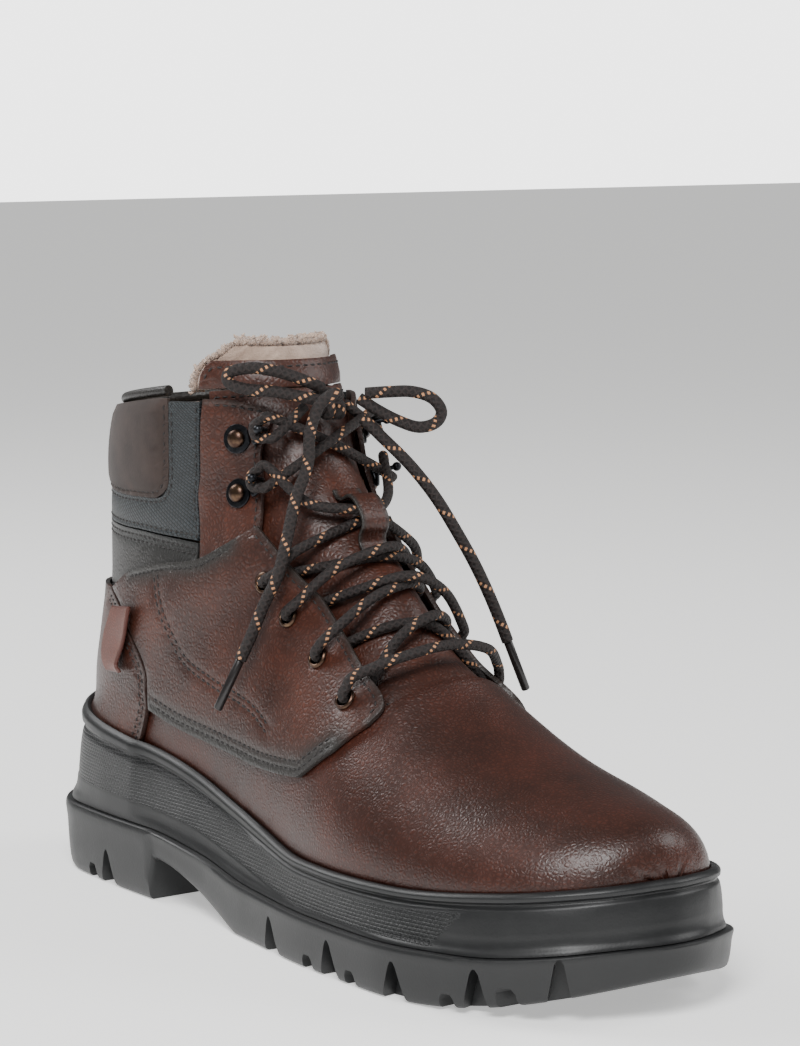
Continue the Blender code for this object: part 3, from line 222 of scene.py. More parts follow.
def thicken(obj: Object, thickness: float, offset: float, roll: float, bend: float) -> Object:
    """Gives a sheet its thickness and rolls its cut edges.

    Args:
        obj: the sheet.
        thickness: in millimetres.
        offset: 1 where it grows outwards, 0 where it grows both ways.
        roll: roundness of the edges, in millimetres.
        bend: edges bent more than this many degrees are rolled.

    Returns:
        The same object.
    """
    shell = obj.modifiers.new("thickness", "SOLIDIFY")
    shell.thickness = thickness * MM
    shell.offset = offset
    bevel = obj.modifiers.new("rolled edge", "BEVEL")
    bevel.width = roll * MM
    bevel.segments = 2
    bevel.limit_method = "ANGLE"
    bevel.angle_limit = math.radians(bend)
    return settle(obj)


def moved(points: Any, place: Matrix) -> Array:
    """Points of a fitting's own frame, in the boot's, both in millimetres."""
    return np.asarray(points, float) @ np.array(place.to_3x3()).T + np.array(place.translation) / MM


def quads(rows: int, count: int, closed: bool = False) -> list:
    """Faces between rows of points that have the same count in each."""
    return [(i * count + k, i * count + (k + 1) % count, (i + 1) * count + (k + 1) % count, (i + 1) * count + k) for i
        in range(rows - 1) for k in range(count if closed else count - 1)]


def join(name: str, parts: Sequence[Object]) -> Object:
    """Several mesh objects made one, under a new name."""
    bpy.ops.object.select_all(action="DESELECT")
    for part in parts:
        part.select_set(True)
    bpy.context.view_layer.objects.active = parts[0]
    bpy.ops.object.join()
    parts[0].name = name
    return parts[0]


def facing_out(obj: Object) -> None:
    """Turns a closed mesh's faces to its outside."""
    bm = bmesh.new()
    bm.from_mesh(obj.data)
    bmesh.ops.recalc_face_normals(bm, faces=bm.faces)
    if bm.calc_volume(signed=True) < 0:
        bmesh.ops.reverse_faces(bm, faces=bm.faces)
    bm.to_mesh(obj.data)
    bm.free()


def tube(name: str, path: Array, radius: float, finish: "Finish", sides: int = 12, squeeze: float = 1.0) -> Object:
    """Round cord or wire along a path, closed at both ends, with its length and girth stored on its points.

    Args:
        name: the object's name.
        path: centre line, in millimetres.
        radius: half the cord's thickness.
        finish: the finish it is dressed in.
        sides: flats round the cord.
        squeeze: thickness across the surface it lies on, as a share of its width.

    Returns:
        The tube.
    """
    ahead = unit(np.gradient(path, axis=0))
    side = np.cross(ahead[0], [0.0, 0.0, 1.0])
    if np.linalg.norm(side) < 0.1:
        side = np.cross(ahead[0], [0.0, 1.0, 0.0])
    frames = []
    for t in ahead:
        side = unit(side - t * float(np.dot(side, t)))
        frames.append(side)
    s = np.array(frames)
    up = np.cross(ahead, s)
    angle = np.linspace(0, 2 * math.pi, sides, endpoint=False)
    ring = (np.cos(angle)[None, :, None] * s[:, None] + np.sin(angle)[None, :, None] * up[:, None] * squeeze)
    verts = (path[:, None] + radius * ring).reshape(-1, 3)
    rows = len(path)
    faces = quads(rows, sides, True) + [tuple(range(sides))[::-1], tuple(range((rows - 1) * sides, rows * sides))]
    obj = solid(name, verts, faces, finish, 60)
    facing_out(obj)
    along = np.repeat(run_length(path), sides)
    around = np.tile(np.arange(sides) / sides, rows)
    write_value(obj, "along", along)
    write_value(obj, "around_x", np.cos(around * 2 * math.pi))
    write_value(obj, "around_y", np.sin(around * 2 * math.pi))
    return obj


def turned(name: str, profile: Sequence[tuple], place: Matrix, finish: "Finish", steps: int = 32) -> Object:
    """Turned piece from a profile of (radius, height), closed where the profile is.

    Args:
        name: the object's name.
        profile: points from the top centre or top edge outwards and down.
        place: matrix whose Z is the turning axis.
        finish: the finish it is dressed in.
        steps: flats round the piece.

    Returns:
        The turned piece.
    """
    pts = np.asarray(profile, float)
    ring = pts[:, 0] > 0
    verts, faces, rows = [], [], []
    for (r, z), wide in zip(pts, ring):
        start = len(verts)
        count = steps if wide else 1
        for k in range(count):
            a = 2 * math.pi * k / steps
            verts.append((r * math.cos(a), r * math.sin(a), z))
        rows.append((start, count))
    loops = list(zip(rows, rows[1:]))
    if ring[0]:
        loops.append((rows[-1], rows[0]))
    for (a, na), (b, nb) in loops:
        for k in range(steps):
            j = (k + 1) % steps
            if na == 1:
                faces.append((a, b + j, b + k))
            elif nb == 1:
                faces.append((a + k, a + j, b))
            else:
                faces.append((a + k, a + j, b + j, b + k))
    obj = solid(name, moved(verts, place), faces, finish, 35)
    facing_out(obj)
    return obj


# ---------------------------------------------------------------- finishes
def linear(hex_colour: str) -> tuple:
    """An sRGB hex colour as linear red, green, blue and alpha."""
    parts = [int(hex_colour[i:i + 2], 16) / 255 for i in (1, 3, 5)]
    return (*[c / 12.92 if c <= 0.04045 else ((c + 0.055) / 1.055) ** 2.4 for c in parts], 1.0)


def add_node(tree: bpy.types.NodeTree, kind: str, inputs: Optional[dict] = None, into: tuple = (),
        **settings: Any) -> Any:
    """Adds one shader node with its settings and links.

    Args:
        tree: the material's node tree.
        kind: the node's type, without the words that all of them start with.
        inputs: socket name or number to a value, a node, or (node, output).
        into: node and socket that it feeds, and its own output where that is not the first.
        settings: the node's own properties.

    Returns:
        The node.
    """
    node = tree.nodes.new("ShaderNode" + kind)
    for key, value in settings.items():
        setattr(node, key, value)
    for key, source in (inputs or {}).items():
        if isinstance(source, bpy.types.Node):
            tree.links.new(source.outputs[0], node.inputs[key])
        elif isinstance(source, tuple) and source and isinstance(source[0], bpy.types.Node):
            tree.links.new(source[0].outputs[source[1]], node.inputs[key])
        else:
            node.inputs[key].default_value = source
    if into:
        fed, socket, output = (*into, 0)[:3]
        tree.links.new(node.outputs[output], fed.inputs[socket])
    return node


def per_mm(size: float) -> float:
    """Texture scale that gives a pattern of this size in millimetres."""
    return 1.0 / (size * MM)


@dataclass(frozen=True)
class Finish:
    """What every finish has: a name, a colour and a shine."""

    name: str
    colour: str
    roughness: float = 0.5
    metallic: float = 0.0

    def material(self) -> bpy.types.Material:
        """The finish's material, made once."""
        found = bpy.data.materials.get(self.name)
        if found:
            return found
        made = bpy.data.materials.new(self.name)
        made.use_nodes = True
        tree = made.node_tree
        shader = tree.nodes["Principled BSDF"]
        shader.inputs["Base Color"].default_value = linear(self.colour)
        shader.inputs["Roughness"].default_value = self.roughness
        shader.inputs["Metallic"].default_value = self.metallic
        made.diffuse_color = linear(self.colour)
        self.grow(tree, shader)
        return made

    def grow(self, tree: bpy.types.NodeTree, shader: bpy.types.Node) -> None:
        """Adds the finish's own nodes."""
        place = add_node(tree, "TexCoord")
        speckle = add_node(tree, "TexNoise", {"Vector": (place, "Object"), "Scale": per_mm(1.2), "Detail": 3.0})
        add_node(tree, "Bump", {"Height": speckle, "Strength": 0.1, "Distance": 0.1 * MM}, into=(shader, "Normal"))


@dataclass(frozen=True)
class MilledLeather(Finish):
    """Full-grain cowhide, drum-milled so that the grain swells into pebbles, then burnished by hand.

    The pebbles catch small broken highlights, and dark wax is rubbed in along seams and edges.
    """

    deep: str = "#371B12"
    burnish: str = "#242422"
    pebble: float = 1.7
    relief: float = 0.42
    patch: float = 26.0

    def grow(self, tree: bpy.types.NodeTree, shader: bpy.types.Node) -> None:
        """Pebbled grain, dye that pools in patches, and wax burnish by the seams."""
        place = add_node(tree, "TexCoord")
        warp = add_node(tree, "TexNoise", {"Vector": (place, "Object"), "Scale": per_mm(2.6), "Detail": 1.0})
        centred = add_node(tree, "VectorMath", {0: (warp, "Color"), 1: (0.5, 0.5, 0.5)}, operation="SUBTRACT")
        push = add_node(tree, "VectorMath", {0: centred, "Scale": 0.5 * MM}, operation="SCALE")
        bent = add_node(tree, "VectorMath", {0: (place, "Object"), 1: push}, operation="ADD")
        cells = add_node(tree, "TexVoronoi", {"Vector": bent, "Scale": per_mm(self.pebble)},
            feature="DISTANCE_TO_EDGE")
        crown = add_node(tree, "MapRange", {"Value": (cells, "Distance"), "From Max": 0.4},
            interpolation_type="SMOOTHSTEP")
        swell = add_node(tree, "TexNoise", {"Vector": (place, "Object"), "Scale": per_mm(6.0), "Detail": 2.0})
        pores = add_node(tree, "TexNoise", {"Vector": (place, "Object"), "Scale": per_mm(0.55), "Detail": 2.0})
        depth = add_node(tree, "Math", {0: crown, 1: (swell, "Fac")}, operation="MULTIPLY")
        height = add_node(tree, "Math", {0: (pores, "Fac"), 1: 0.22, 2: depth}, operation="MULTIPLY_ADD")
        add_node(tree, "Bump", {"Height": height, "Strength": self.relief, "Distance": 0.5 * MM}, into=(shader,
            "Normal"))

        patches = add_node(tree, "TexNoise", {"Vector": (place, "Object"), "Scale": per_mm(self.patch), "Detail": 4.0,
            "Roughness": 0.6})
        pool = add_node(tree, "MapRange", {"Value": (patches, "Fac"), "From Min": 0.36, "From Max": 0.66})
        dye = add_node(tree, "Mix", {0: pool, 6: linear(self.deep), 7: linear(self.colour)}, data_type="RGBA")
        groove = add_node(tree, "MapRange", {"Value": crown, "To Min": 0.62, "To Max": 1.0})
        grained = add_node(tree, "Mix", {0: 1.0, 6: (dye, 2), 7: groove}, data_type="RGBA", blend_type="MULTIPLY")
        edge = add_node(tree, "Attribute", attribute_name="burnish")
        uneven = add_node(tree, "Math", {0: (patches, "Fac"), 1: 0.7, 2: -0.35}, operation="MULTIPLY_ADD")
        rubbed = add_node(tree, "Math", {0: (edge, "Fac"), 1: uneven}, operation="ADD")
        wax = add_node(tree, "MapRange", {"Value": rubbed, "From Min": 0.16, "From Max": 0.86, "To Max": 0.94},
            interpolation_type="SMOOTHSTEP")
        add_node(tree, "Mix", {0: wax, 6: (grained, 2), 7: linear(self.burnish)}, data_type="RGBA", into=(shader,
            "Base Color", 2))
        add_node(tree, "MapRange", {"Value": (patches, "Fac"), "To Min": self.roughness - 0.06,
            "To Max": self.roughness + 0.1}, into=(shader, "Roughness"))
        shader.inputs["IOR"].default_value = 1.48
        shader.inputs["Coat Weight"].default_value = 0.08
        shader.inputs["Coat Roughness"].default_value = 0.32


@dataclass(frozen=True)
class Nubuck(Finish):
    """Cowhide buffed on the grain side: a soft, chalky nap with no shine and slow changes of tone."""

    rubbed: str = "#3A2D28"

    def grow(self, tree: bpy.types.NodeTree, shader: bpy.types.Node) -> None:
        """Fine nap and cloudy tone."""
        place = add_node(tree, "TexCoord")
        cloud = add_node(tree, "TexNoise", {"Vector": (place, "Object"), "Scale": per_mm(11.0), "Detail": 5.0,
            "Roughness": 0.65})
        tone = add_node(tree, "MapRange", {"Value": (cloud, "Fac"), "From Min": 0.35, "From Max": 0.7})
        add_node(tree, "Mix", {0: tone, 6: linear(self.colour), 7: linear(self.rubbed)}, data_type="RGBA",
            into=(shader, "Base Color", 2))
        nap = add_node(tree, "TexNoise", {"Vector": (place, "Object"), "Scale": per_mm(0.7), "Detail": 4.0})
        add_node(tree, "Bump", {"Height": (nap, "Fac"), "Strength": 0.25, "Distance": 0.25 * MM}, into=(shader,
            "Normal"))
        shader.inputs["Sheen Weight"].default_value = 0.06
        shader.inputs["Sheen Roughness"].default_value = 0.5


@dataclass(frozen=True)
class RaisedWeave(Finish):
    """Coated polyester woven with raised lighter floats in staggered rows, slate grey.

    The floats are 2.4 by 1 mm and stand out as short pale dashes on a dark ground.
    """

    dash: str = "#31383C"
    long: float = 2.4
    row: float = 1.25

    def grow(self, tree: bpy.types.NodeTree, shader: bpy.types.Node) -> None:
        """Staggered rows of raised dashes, read from the cloth's own UV map."""
        flat = add_node(tree, "UVMap", uv_map="cloth")
        tilt = add_node(tree, "Mapping", {"Vector": flat, "Rotation": (0.0, 0.0, math.radians(58))})
        rows = add_node(tree, "TexBrick", {"Vector": tilt, "Scale": 1.0, "Mortar Size": self.row * 0.27,
            "Mortar Smooth": 0.55, "Brick Width": self.long, "Row Height": self.row, "Color1": (1, 1, 1, 1),
            "Color2": (0.55, 0.55, 0.55, 1), "Mortar": (0, 0, 0, 1)})
        mixed = add_node(tree, "Mix", {0: (rows, "Color"), 6: linear(self.colour), 7: linear(self.dash)},
            data_type="RGBA")
        place = add_node(tree, "TexCoord")
        worn = add_node(tree, "TexNoise", {"Vector": (place, "Object"), "Scale": per_mm(8.0), "Detail": 4.0})
        fade = add_node(tree, "MapRange", {"Value": (worn, "Fac"), "To Min": 0.55, "To Max": 1.3})
        add_node(tree, "Mix", {0: 1.0, 6: (mixed, 2), 7: fade}, data_type="RGBA", blend_type="MULTIPLY", into=(shader,
            "Base Color", 2))
        add_node(tree, "Bump", {"Height": (rows, "Color"), "Strength": 0.6, "Distance": 0.35 * MM}, into=(shader,
            "Normal"))


@dataclass(frozen=True)
class Pile(Finish):
    """Curly wool-blend pile, sheared to about 6 mm: matt tufts, with painted shade that darkens them towards their
    roots.
    """

    # colour of the painted shade low down on the tufts
    root: str = "#8F7565"

    def grow(self, tree: bpy.types.NodeTree, shader: bpy.types.Node) -> None:
        """Painted shade by tuft height, darker low down, and fibre noise."""
        high = add_node(tree, "Attribute", attribute_name="tuft")
        place = add_node(tree, "TexCoord")
        fibre = add_node(tree, "TexNoise", {"Vector": (place, "Object"), "Scale": per_mm(0.9), "Detail": 4.0,
            "Roughness": 0.7})
        lift = add_node(tree, "Math", {0: (fibre, "Fac"), 1: 0.7, 2: -0.35}, operation="MULTIPLY_ADD")
        level = add_node(tree, "Math", {0: (high, "Fac"), 1: lift}, operation="ADD")
        # painted shade: the lower a point stands on its tuft, the darker it is
        tone = add_node(tree, "MapRange", {"Value": level, "From Min": 0.0, "From Max": 0.9})
        add_node(tree, "Mix", {0: tone, 6: linear(self.root), 7: linear(self.colour)}, data_type="RGBA", into=(shader,
            "Base Color", 2))
        add_node(tree, "Bump", {"Height": (fibre, "Fac"), "Strength": 0.8, "Distance": 0.7 * MM}, into=(shader,
            "Normal"))
        shader.inputs["Sheen Weight"].default_value = 0.5
        shader.inputs["Sheen Roughness"].default_value = 0.6


@dataclass(frozen=True)
class MouldedRubber(Finish):
    """Compression-moulded nitrile rubber: nearly black, satin where the mould was polished.

    A woven relief of 1.9 mm squares is moulded into the band along the sole's side.
    """

    dust: str = "#2A2B2B"
    weave: float = 1.9

    def grow(self, tree: bpy.types.NodeTree, shader: bpy.types.Node) -> None:
        """Light scuffs, and the woven relief where the band is."""
        place = add_node(tree, "TexCoord")
        scuff = add_node(tree, "TexNoise", {"Vector": (place, "Object"), "Scale": per_mm(14.0), "Detail": 6.0,
            "Roughness": 0.7})
        worn = add_node(tree, "MapRange", {"Value": (scuff, "Fac"), "From Min": 0.45, "From Max": 0.85,
            "To Max": 0.35})
        add_node(tree, "Mix", {0: worn, 6: linear(self.colour), 7: linear(self.dust)}, data_type="RGBA", into=(shader,
            "Base Color", 2))
        add_node(tree, "MapRange", {"Value": (scuff, "Fac"), "To Min": self.roughness - 0.08, "To Max": self.roughness
            + 0.12}, into=(shader, "Roughness"))
        flat = add_node(tree, "UVMap", uv_map="wall")
        squares = add_node(tree, "TexBrick", {"Vector": flat, "Scale": 1.0, "Mortar Size": self.weave * 0.2,
            "Mortar Smooth": 0.8, "Brick Width": self.weave, "Row Height": self.weave * 0.62, "Color1": (1, 1, 1, 1),
            "Color2": (0.7, 0.7, 0.7, 1), "Mortar": (0, 0, 0, 1)})
        band = add_node(tree, "Attribute", attribute_name="band")
        inside = add_node(tree, "MapRange", {"Value": (band, "Fac"), "From Min": 0.35, "From Max": 0.65})
        relief = add_node(tree, "Math", {0: (squares, "Color"), 1: inside}, operation="MULTIPLY")
        fine = add_node(tree, "TexNoise", {"Vector": (place, "Object"), "Scale": per_mm(0.8), "Detail": 2.0})
        height = add_node(tree, "Math", {0: (fine, "Fac"), 1: 0.12, 2: relief}, operation="MULTIPLY_ADD")
        add_node(tree, "Bump", {"Height": height, "Strength": 0.75, "Distance": 0.5 * MM}, into=(shader, "Normal"))


@dataclass(frozen=True)
class Braid(Finish):
    """Round lace braided from polyester yarn: herringbone ridges, with two flecks of copper yarn.

    Yarns are drawn 1.1 mm wide, a little coarser than the real ones, so that the braid shows.
    """

    copper: str = "#B9855F"
    yarn: float = 1.1
    repeat: float = 14.0

    def grow(self, tree: bpy.types.NodeTree, shader: bpy.types.Node) -> None:
        """Crossed ridges from the length and girth stored on the tube."""
        along = add_node(tree, "Attribute", attribute_name="along")
        cosine = add_node(tree, "Attribute", attribute_name="around_x")
        sine = add_node(tree, "Attribute", attribute_name="around_y")
        angle = add_node(tree, "Math", {0: (sine, "Fac"), 1: (cosine, "Fac")}, operation="ARCTAN2")
        step = add_node(tree, "Math", {0: (along, "Fac"), 1: 2 * math.pi / self.yarn / 2.2}, operation="MULTIPLY")
        turns = add_node(tree, "Math", {0: angle, 1: 4.0}, operation="MULTIPLY")
        right = add_node(tree, "Math", {0: step, 1: turns}, operation="ADD")
        left = add_node(tree, "Math", {0: step, 1: turns}, operation="SUBTRACT")
        wave_r = add_node(tree, "Math", {0: right}, operation="SINE")
        wave_l = add_node(tree, "Math", {0: left}, operation="SINE")
        ridge = add_node(tree, "Math", {0: wave_r, 1: wave_l}, operation="MAXIMUM")
        add_node(tree, "Bump", {"Height": ridge, "Strength": 0.55, "Distance": 0.32 * MM}, into=(shader, "Normal"))
        shade = add_node(tree, "MapRange", {"Value": ridge, "From Min": -0.6, "From Max": 1.0, "To Min": 0.35,
            "To Max": 1.15})
        base = add_node(tree, "Mix", {0: 1.0, 6: linear(self.colour), 7: shade}, data_type="RGBA",
            blend_type="MULTIPLY")
        # The copper yarns run round the braid once for each repeat, so they surface as pairs of dashes.
        spiral = add_node(tree, "Math", {0: (along, "Fac"), 1: 2 * math.pi / self.repeat}, operation="MULTIPLY")
        track = add_node(tree, "Math", {0: spiral, 1: angle}, operation="ADD")
        near = add_node(tree, "Math", {0: track}, operation="COSINE")
        lane = add_node(tree, "MapRange", {"Value": near, "From Min": 0.9, "From Max": 0.96})
        over = add_node(tree, "MapRange", {"Value": wave_l, "From Min": -0.1, "From Max": 0.35})
        fleck = add_node(tree, "Math", {0: lane, 1: over}, operation="MULTIPLY")
        add_node(tree, "Mix", {0: fleck, 6: (base, 2), 7: linear(self.copper)}, data_type="RGBA", into=(shader,
            "Base Color", 2))


@dataclass(frozen=True)
class AntiquePlate(Finish):
    """Stamped brass, plated and relieved: dark in the hollows, polished through on the domes."""

    polished: str = "#64503F"

    def grow(self, tree: bpy.types.NodeTree, shader: bpy.types.Node) -> None:
        """Smoky tone changes and brushed-on wear."""
        place = add_node(tree, "TexCoord")
        smoke = add_node(tree, "TexNoise", {"Vector": (place, "Object"), "Scale": per_mm(2.4), "Detail": 5.0})
        worn = add_node(tree, "MapRange", {"Value": (smoke, "Fac"), "From Min": 0.42, "From Max": 0.68})
        add_node(tree, "Mix", {0: worn, 6: linear(self.colour), 7: linear(self.polished)}, data_type="RGBA",
            into=(shader, "Base Color", 2))
        add_node(tree, "MapRange", {"Value": (smoke, "Fac"), "To Min": self.roughness + 0.12, "To Max": self.roughness
            - 0.08}, into=(shader, "Roughness"))
        grit = add_node(tree, "TexNoise", {"Vector": (place, "Object"), "Scale": per_mm(0.5)})
        add_node(tree, "Bump", {"Height": (grit, "Fac"), "Strength": 0.08, "Distance": 0.1 * MM}, into=(shader,
            "Normal"))


LEATHER_BODY = MilledLeather("milled_cowhide_brown", "#522819", 0.42)
LEATHER_SMOOTH = MilledLeather("milled_cowhide_toe", "#4A2317", 0.38, pebble=1.4, relief=0.32)
LEATHER_DARK = MilledLeather("milled_cowhide_burnished", "#26211D", 0.46, deep="#1C1A18", burnish="#191A19")
LEATHER_TAN = MilledLeather("vegetable_tanned_label", "#7A4434", 0.5, deep="#68382B", burnish="#4A241B", pebble=1.1,
    relief=0.2)
NUBUCK = Nubuck("buffed_nubuck", "#2A1F1B", 0.85)
WEAVE = RaisedWeave("coated_polyester_weave", "#0C0F11", 0.5)
PILE = Pile("curly_wool_pile", "#C9AF9C", 0.95)
RUBBER = MouldedRubber("moulded_nitrile_rubber", "#141516", 0.44)
LACE = Braid("braided_polyester_lace", "#1E1513", 0.75)
BRONZE = AntiquePlate("antique_plated_brass", "#43332C", 0.3, 1.0)
GUNMETAL = AntiquePlate("black_nickel_plated_brass", "#26272A", 0.34, 1.0, polished="#3C3D40")
AGLET = Finish("acetate_aglet_film", "#1E1B1B", 0.28)
THREAD = Finish("bonded_nylon_thread", "#1C1817", 0.6)
FOAM = Finish("polyether_foam", "#CFC8B6", 0.9)
BOARD = Finish("pressed_cellulose_board", "#9A8263", 0.8)
SHANK_STEEL = AntiquePlate("spring_steel_shank", "#6E7074", 0.35, 1.0, polished="#9A9CA0")


# ---------------------------------------------------------------- the last
@dataclass
class Last:
    """The surface that the upper is pulled over.

    A place on it is (u, v): u runs from the toe up to the collar, v from the outer edge (-1) over the
    instep (0) to the inner edge (+1). Each station holds its place, front y, front z, edge y, outer and
    inner half width, and fullness.
    """

    stations: tuple = ((0.00, -147, 36, -147, 0, 0, 2.1), (0.02, -146, 48, -146, 0, 0, 2.1), (0.06, -141, 55.5, -141,
        0, 0, 2), (0.12, -131, 59.5, -131, 0, 0, 1.95), (0.22, -110, 64, -110, 0, 0, 1.9), (0.32, -85, 71, -85, 0, 0,
        1.9), (0.40, -62, 82, -60, 0, 0, 1.9), (0.48, -40, 100, -15, 43, 33.5, 1.9), (0.56, -22, 119, 45, 38, 32,
        1.95), (0.66, 1, 138, 149.5, 39, 36, 2.25), (0.72, 10, 147, 146.5, 35.5, 35, 2.3), (0.78, 18, 156, 143.5, 34,
        34.5, 2.25), (0.90, 26, 170, 140, 35.5, 36, 2.2), (1.00, 32, 182, 133, 36, 36, 2.2), (1.15, 40, 199, 128, 36,
        36, 2.2))
    closed_from: float = 0.66     # rows above this one run right round the heel
    back_line: tuple = ((0.66, 55), (0.72, 78), (0.78, 95), (0.90, 132), (1, 170), (1.15, 190))
    feather_y: tuple = (-147, -144, -136, -120, -95, -60, -30, 5, 45, 85, 115, 137, 146.5, 150.5)
    feather_outer: tuple = (0, 14, 26, 38, 46, 48.5, 46.5, 41, 37, 37, 37.5, 30, 15, 0)
    feather_inner: tuple = (0, 13, 24, 35, 42, 42.5, 38, 32, 31, 34, 36, 30, 15, 0)
    rim_y: tuple = (-156, -120, -80, -35, 20, 60, 100, 148, 156)
    rim_z: tuple = (43, 37.5, 34, 34, 42, 51, 56, 61.5, 62)
    rim_tuck: float = 7.0         # the upper reaches this far down inside the sole's rim
    centre_y: tuple = (-156, -100, -40, 20, 156)
    centre_x: tuple = (7, 4, -1.5, -1, 0)
    centre_shift: float = 2.75
    rows: int = 181
    half: int = 61

    def __post_init__(self) -> None:
        """Works out the surface's grid of points and normals."""
        self.us = np.linspace(0.003, 1.15, self.rows)
        grid = [np.concatenate([self.half_row(u, -1)[::-1], self.half_row(u, 1)[1:]]) for u in self.us]
        self.points = self.relaxed(np.array(grid))
        self.normals = unit(np.cross(np.gradient(self.points, axis=1), np.gradient(self.points, axis=0)))

    def half_row(self, u: float, side: int) -> Array:
        """Half a row, from the instep line down to its edge, evenly spaced."""
        table = np.array(self.stations)
        fy, fz, ey, wo, wi, fullness = [float(smooth(table[:, 0], table[:, k], u)) for k in range(1, 7)]
        closed = u >= self.closed_from
        back = np.array(self.back_line)
        ez = float(smooth(back[:, 0], back[:, 1], u)) if closed else float(self.rim(ey)) - self.rim_tuck
        outline = self.feather_outer if side < 0 else self.feather_inner
        at_edge = 0.0 if closed else float(smooth(self.feather_y, outline, ey))
        widest = max(wo if side < 0 else wi, at_edge * 1.03, 0.001)
        end = math.pi - math.asin(min(1.0, (at_edge / widest) ** (fullness / 2)))
        phi = np.linspace(0, end, 181)
        a = (1 - np.cos(phi)) / (1 - math.cos(end))
        y = fy + (ey - fy) * a
        x = widest * np.abs(np.sin(phi)) ** (2 / fullness)
        x = smooth(self.centre_y, self.centre_x, y) + side * x + self.centre_shift
        return evenly_counted(np.stack([x, y, fz + (ez - fz) * a], -1), self.half)

    def relaxed(self, p: Array) -> Array:
        """The rows evened out where those ending at the sole's rim meet those closed at the heel."""
        vs = np.linspace(-1, 1, 2 * self.half - 1)
        along = 0.45 * np.exp(-((self.us - 0.655) / 0.05) ** 2) + 0.06
        share = (along[:, None] * (1 - 0.9 * vs ** 6)[None, :])[..., None]
        closed = self.us >= self.closed_from
        for _ in range(40):
            wide = np.concatenate([p[:, :1], p, p[:, -1:]], axis=1)
            wide[closed, 0] = p[closed, -2]
            wide[closed, -1] = p[closed, 1]
            mean = p.copy()
            mean[1:-1] = 0.25 * (p[:-2] + p[2:] + wide[1:-1, :-2] + wide[1:-1, 2:])
            mean[~closed, 0] = p[~closed, 0]
            mean[~closed, -1] = p[~closed, -1]
            p = p + share * (mean - p)
        return p

    def rim(self, y: Any) -> Array:
        """Height of the sole's rim."""
        return smooth(self.rim_y, self.rim_z, y)

    def at(self, places: Any, lift: Any = 0.0, around: bool = False) -> Array:
        """Points on the surface.

        Args:
            places: rows of (u, v), or of (u, w) where w is 0 at the back of the heel.
            lift: distance outwards, one or one for each place.
            around: whether the places are (u, w).

        Returns:
            Points in millimetres, one row each.
        """
        flat = np.atleast_2d(np.asarray(places, float))
        v = np.where(flat[:, 1] >= 0, flat[:, 1] - 1, flat[:, 1] + 1) if around else flat[:, 1]
        fu = np.clip((flat[:, 0] - self.us[0]) / (self.us[-1] - self.us[0]) * (self.rows - 1), 0, self.rows - 1.001)
        fv = np.clip((v + 1) * (self.half - 1), 0, 2 * self.half - 2.001)
        i, j = fu.astype(int), fv.astype(int)
        a, b = (fu - i)[:, None], (fv - j)[:, None]
        found = []
        for grid in (self.points, self.normals):
            low = grid[i, j] * (1 - b) + grid[i, j + 1] * b
            high = grid[i + 1, j] * (1 - b) + grid[i + 1, j + 1] * b
            found.append(low * (1 - a) + high * a)
        return found[0] + unit(found[1]) * np.broadcast_to(np.asarray(lift, float), (len(flat),))[:, None]

    def normal(self, places: Any, around: bool = False) -> Array:
        """Outward directions, averaged over a few millimetres round each place."""
        flat = np.atleast_2d(np.asarray(places, float))
        along = self.at(flat + [0.014, 0], 0, around) - self.at(flat - [0.014, 0], 0, around)
        across = self.at(flat + [0, 0.04], 0, around) - self.at(flat - [0, 0.04], 0, around)
        return unit(np.cross(across, along))

    def nearest(self, start: Array, targets: Array, around: bool = False) -> Array:
        """Places whose points lie nearest to targets, from places close by."""
        flat = np.array(start, float)
        for _ in range(6):
            tu = (self.at(flat + [0.004, 0], 0, around) - self.at(flat - [0.004, 0], 0, around)) / 0.008
            tv = (self.at(flat + [0, 0.01], 0, around) - self.at(flat - [0, 0.01], 0, around)) / 0.02
            rest = targets - self.at(flat, 0, around)
            uu, uv, vv = np.sum(tu * tu, 1), np.sum(tu * tv, 1), np.sum(tv * tv, 1)
            ru, rv = np.sum(tu * rest, 1), np.sum(tv * rest, 1)
            det = uu * vv - uv * uv + 1e-9
            flat[:, 0] += np.clip((vv * ru - uv * rv) / det, -0.02, 0.02)
            flat[:, 1] += np.clip((uu * rv - uv * ru) / det, -0.05, 0.05)
            flat[:, 0] = np.clip(flat[:, 0], self.us[0], self.us[-1])
            flat[:, 1] = np.clip(flat[:, 1], -1.0, 1.0)
        return flat

    def find(self, points: Any, side: Side) -> Array:
        """Places nearest to points given in millimetres on the outer side, on either side."""
        p = np.asarray(points, float)
        aim = np.column_stack([side.value * np.abs(p[:, 0]) + self.centre_shift, p[:, 1:]])
        part = slice(0, self.half) if side is Side.OUTER else slice(self.half - 1, 2 * self.half - 1)
        area = self.points[:, part]
        flat = area.reshape(-1, 3)
        first = np.argmin(((aim[:, None] - flat[None]) ** 2).sum(-1), axis=1)
        i, j = np.unravel_index(first, area.shape[:2])
        shift = 0 if side is Side.OUTER else self.half - 1
        found = self.nearest(np.stack([self.us[i], (j + shift) / (self.half - 1) - 1], -1), aim)
        low, high = (-1.0, 0.0) if side is Side.OUTER else (0.0, 1.0)
        found[:, 1] = np.clip(found[:, 1], low, high)
        return found

    def line(self, points: Any, side: Side, step: float = 2.2) -> Array:
        """Places along a smooth line through points in millimetres."""
        return self.find(evenly(through(points), step), side)

    def ring(self, places: Any, step: float = 2.2) -> Array:
        """Places (u, w) along a smooth line through given ones, evenly spaced."""
        fine = through(places)
        s = run_length(self.at(fine, 0, True))
        return read_at(fine, s, ticks(s, step))

    def beside(self, places: Array, distance: float, around: bool = False) -> Array:
        """The line of places moved sideways over the surface; positive is to its left, seen from outside."""
        p = self.at(places, 0, around)
        ahead = unit(np.gradient(p, axis=0))
        return self.nearest(places, p + np.cross(self.normal(places, around), ahead) * distance, around)

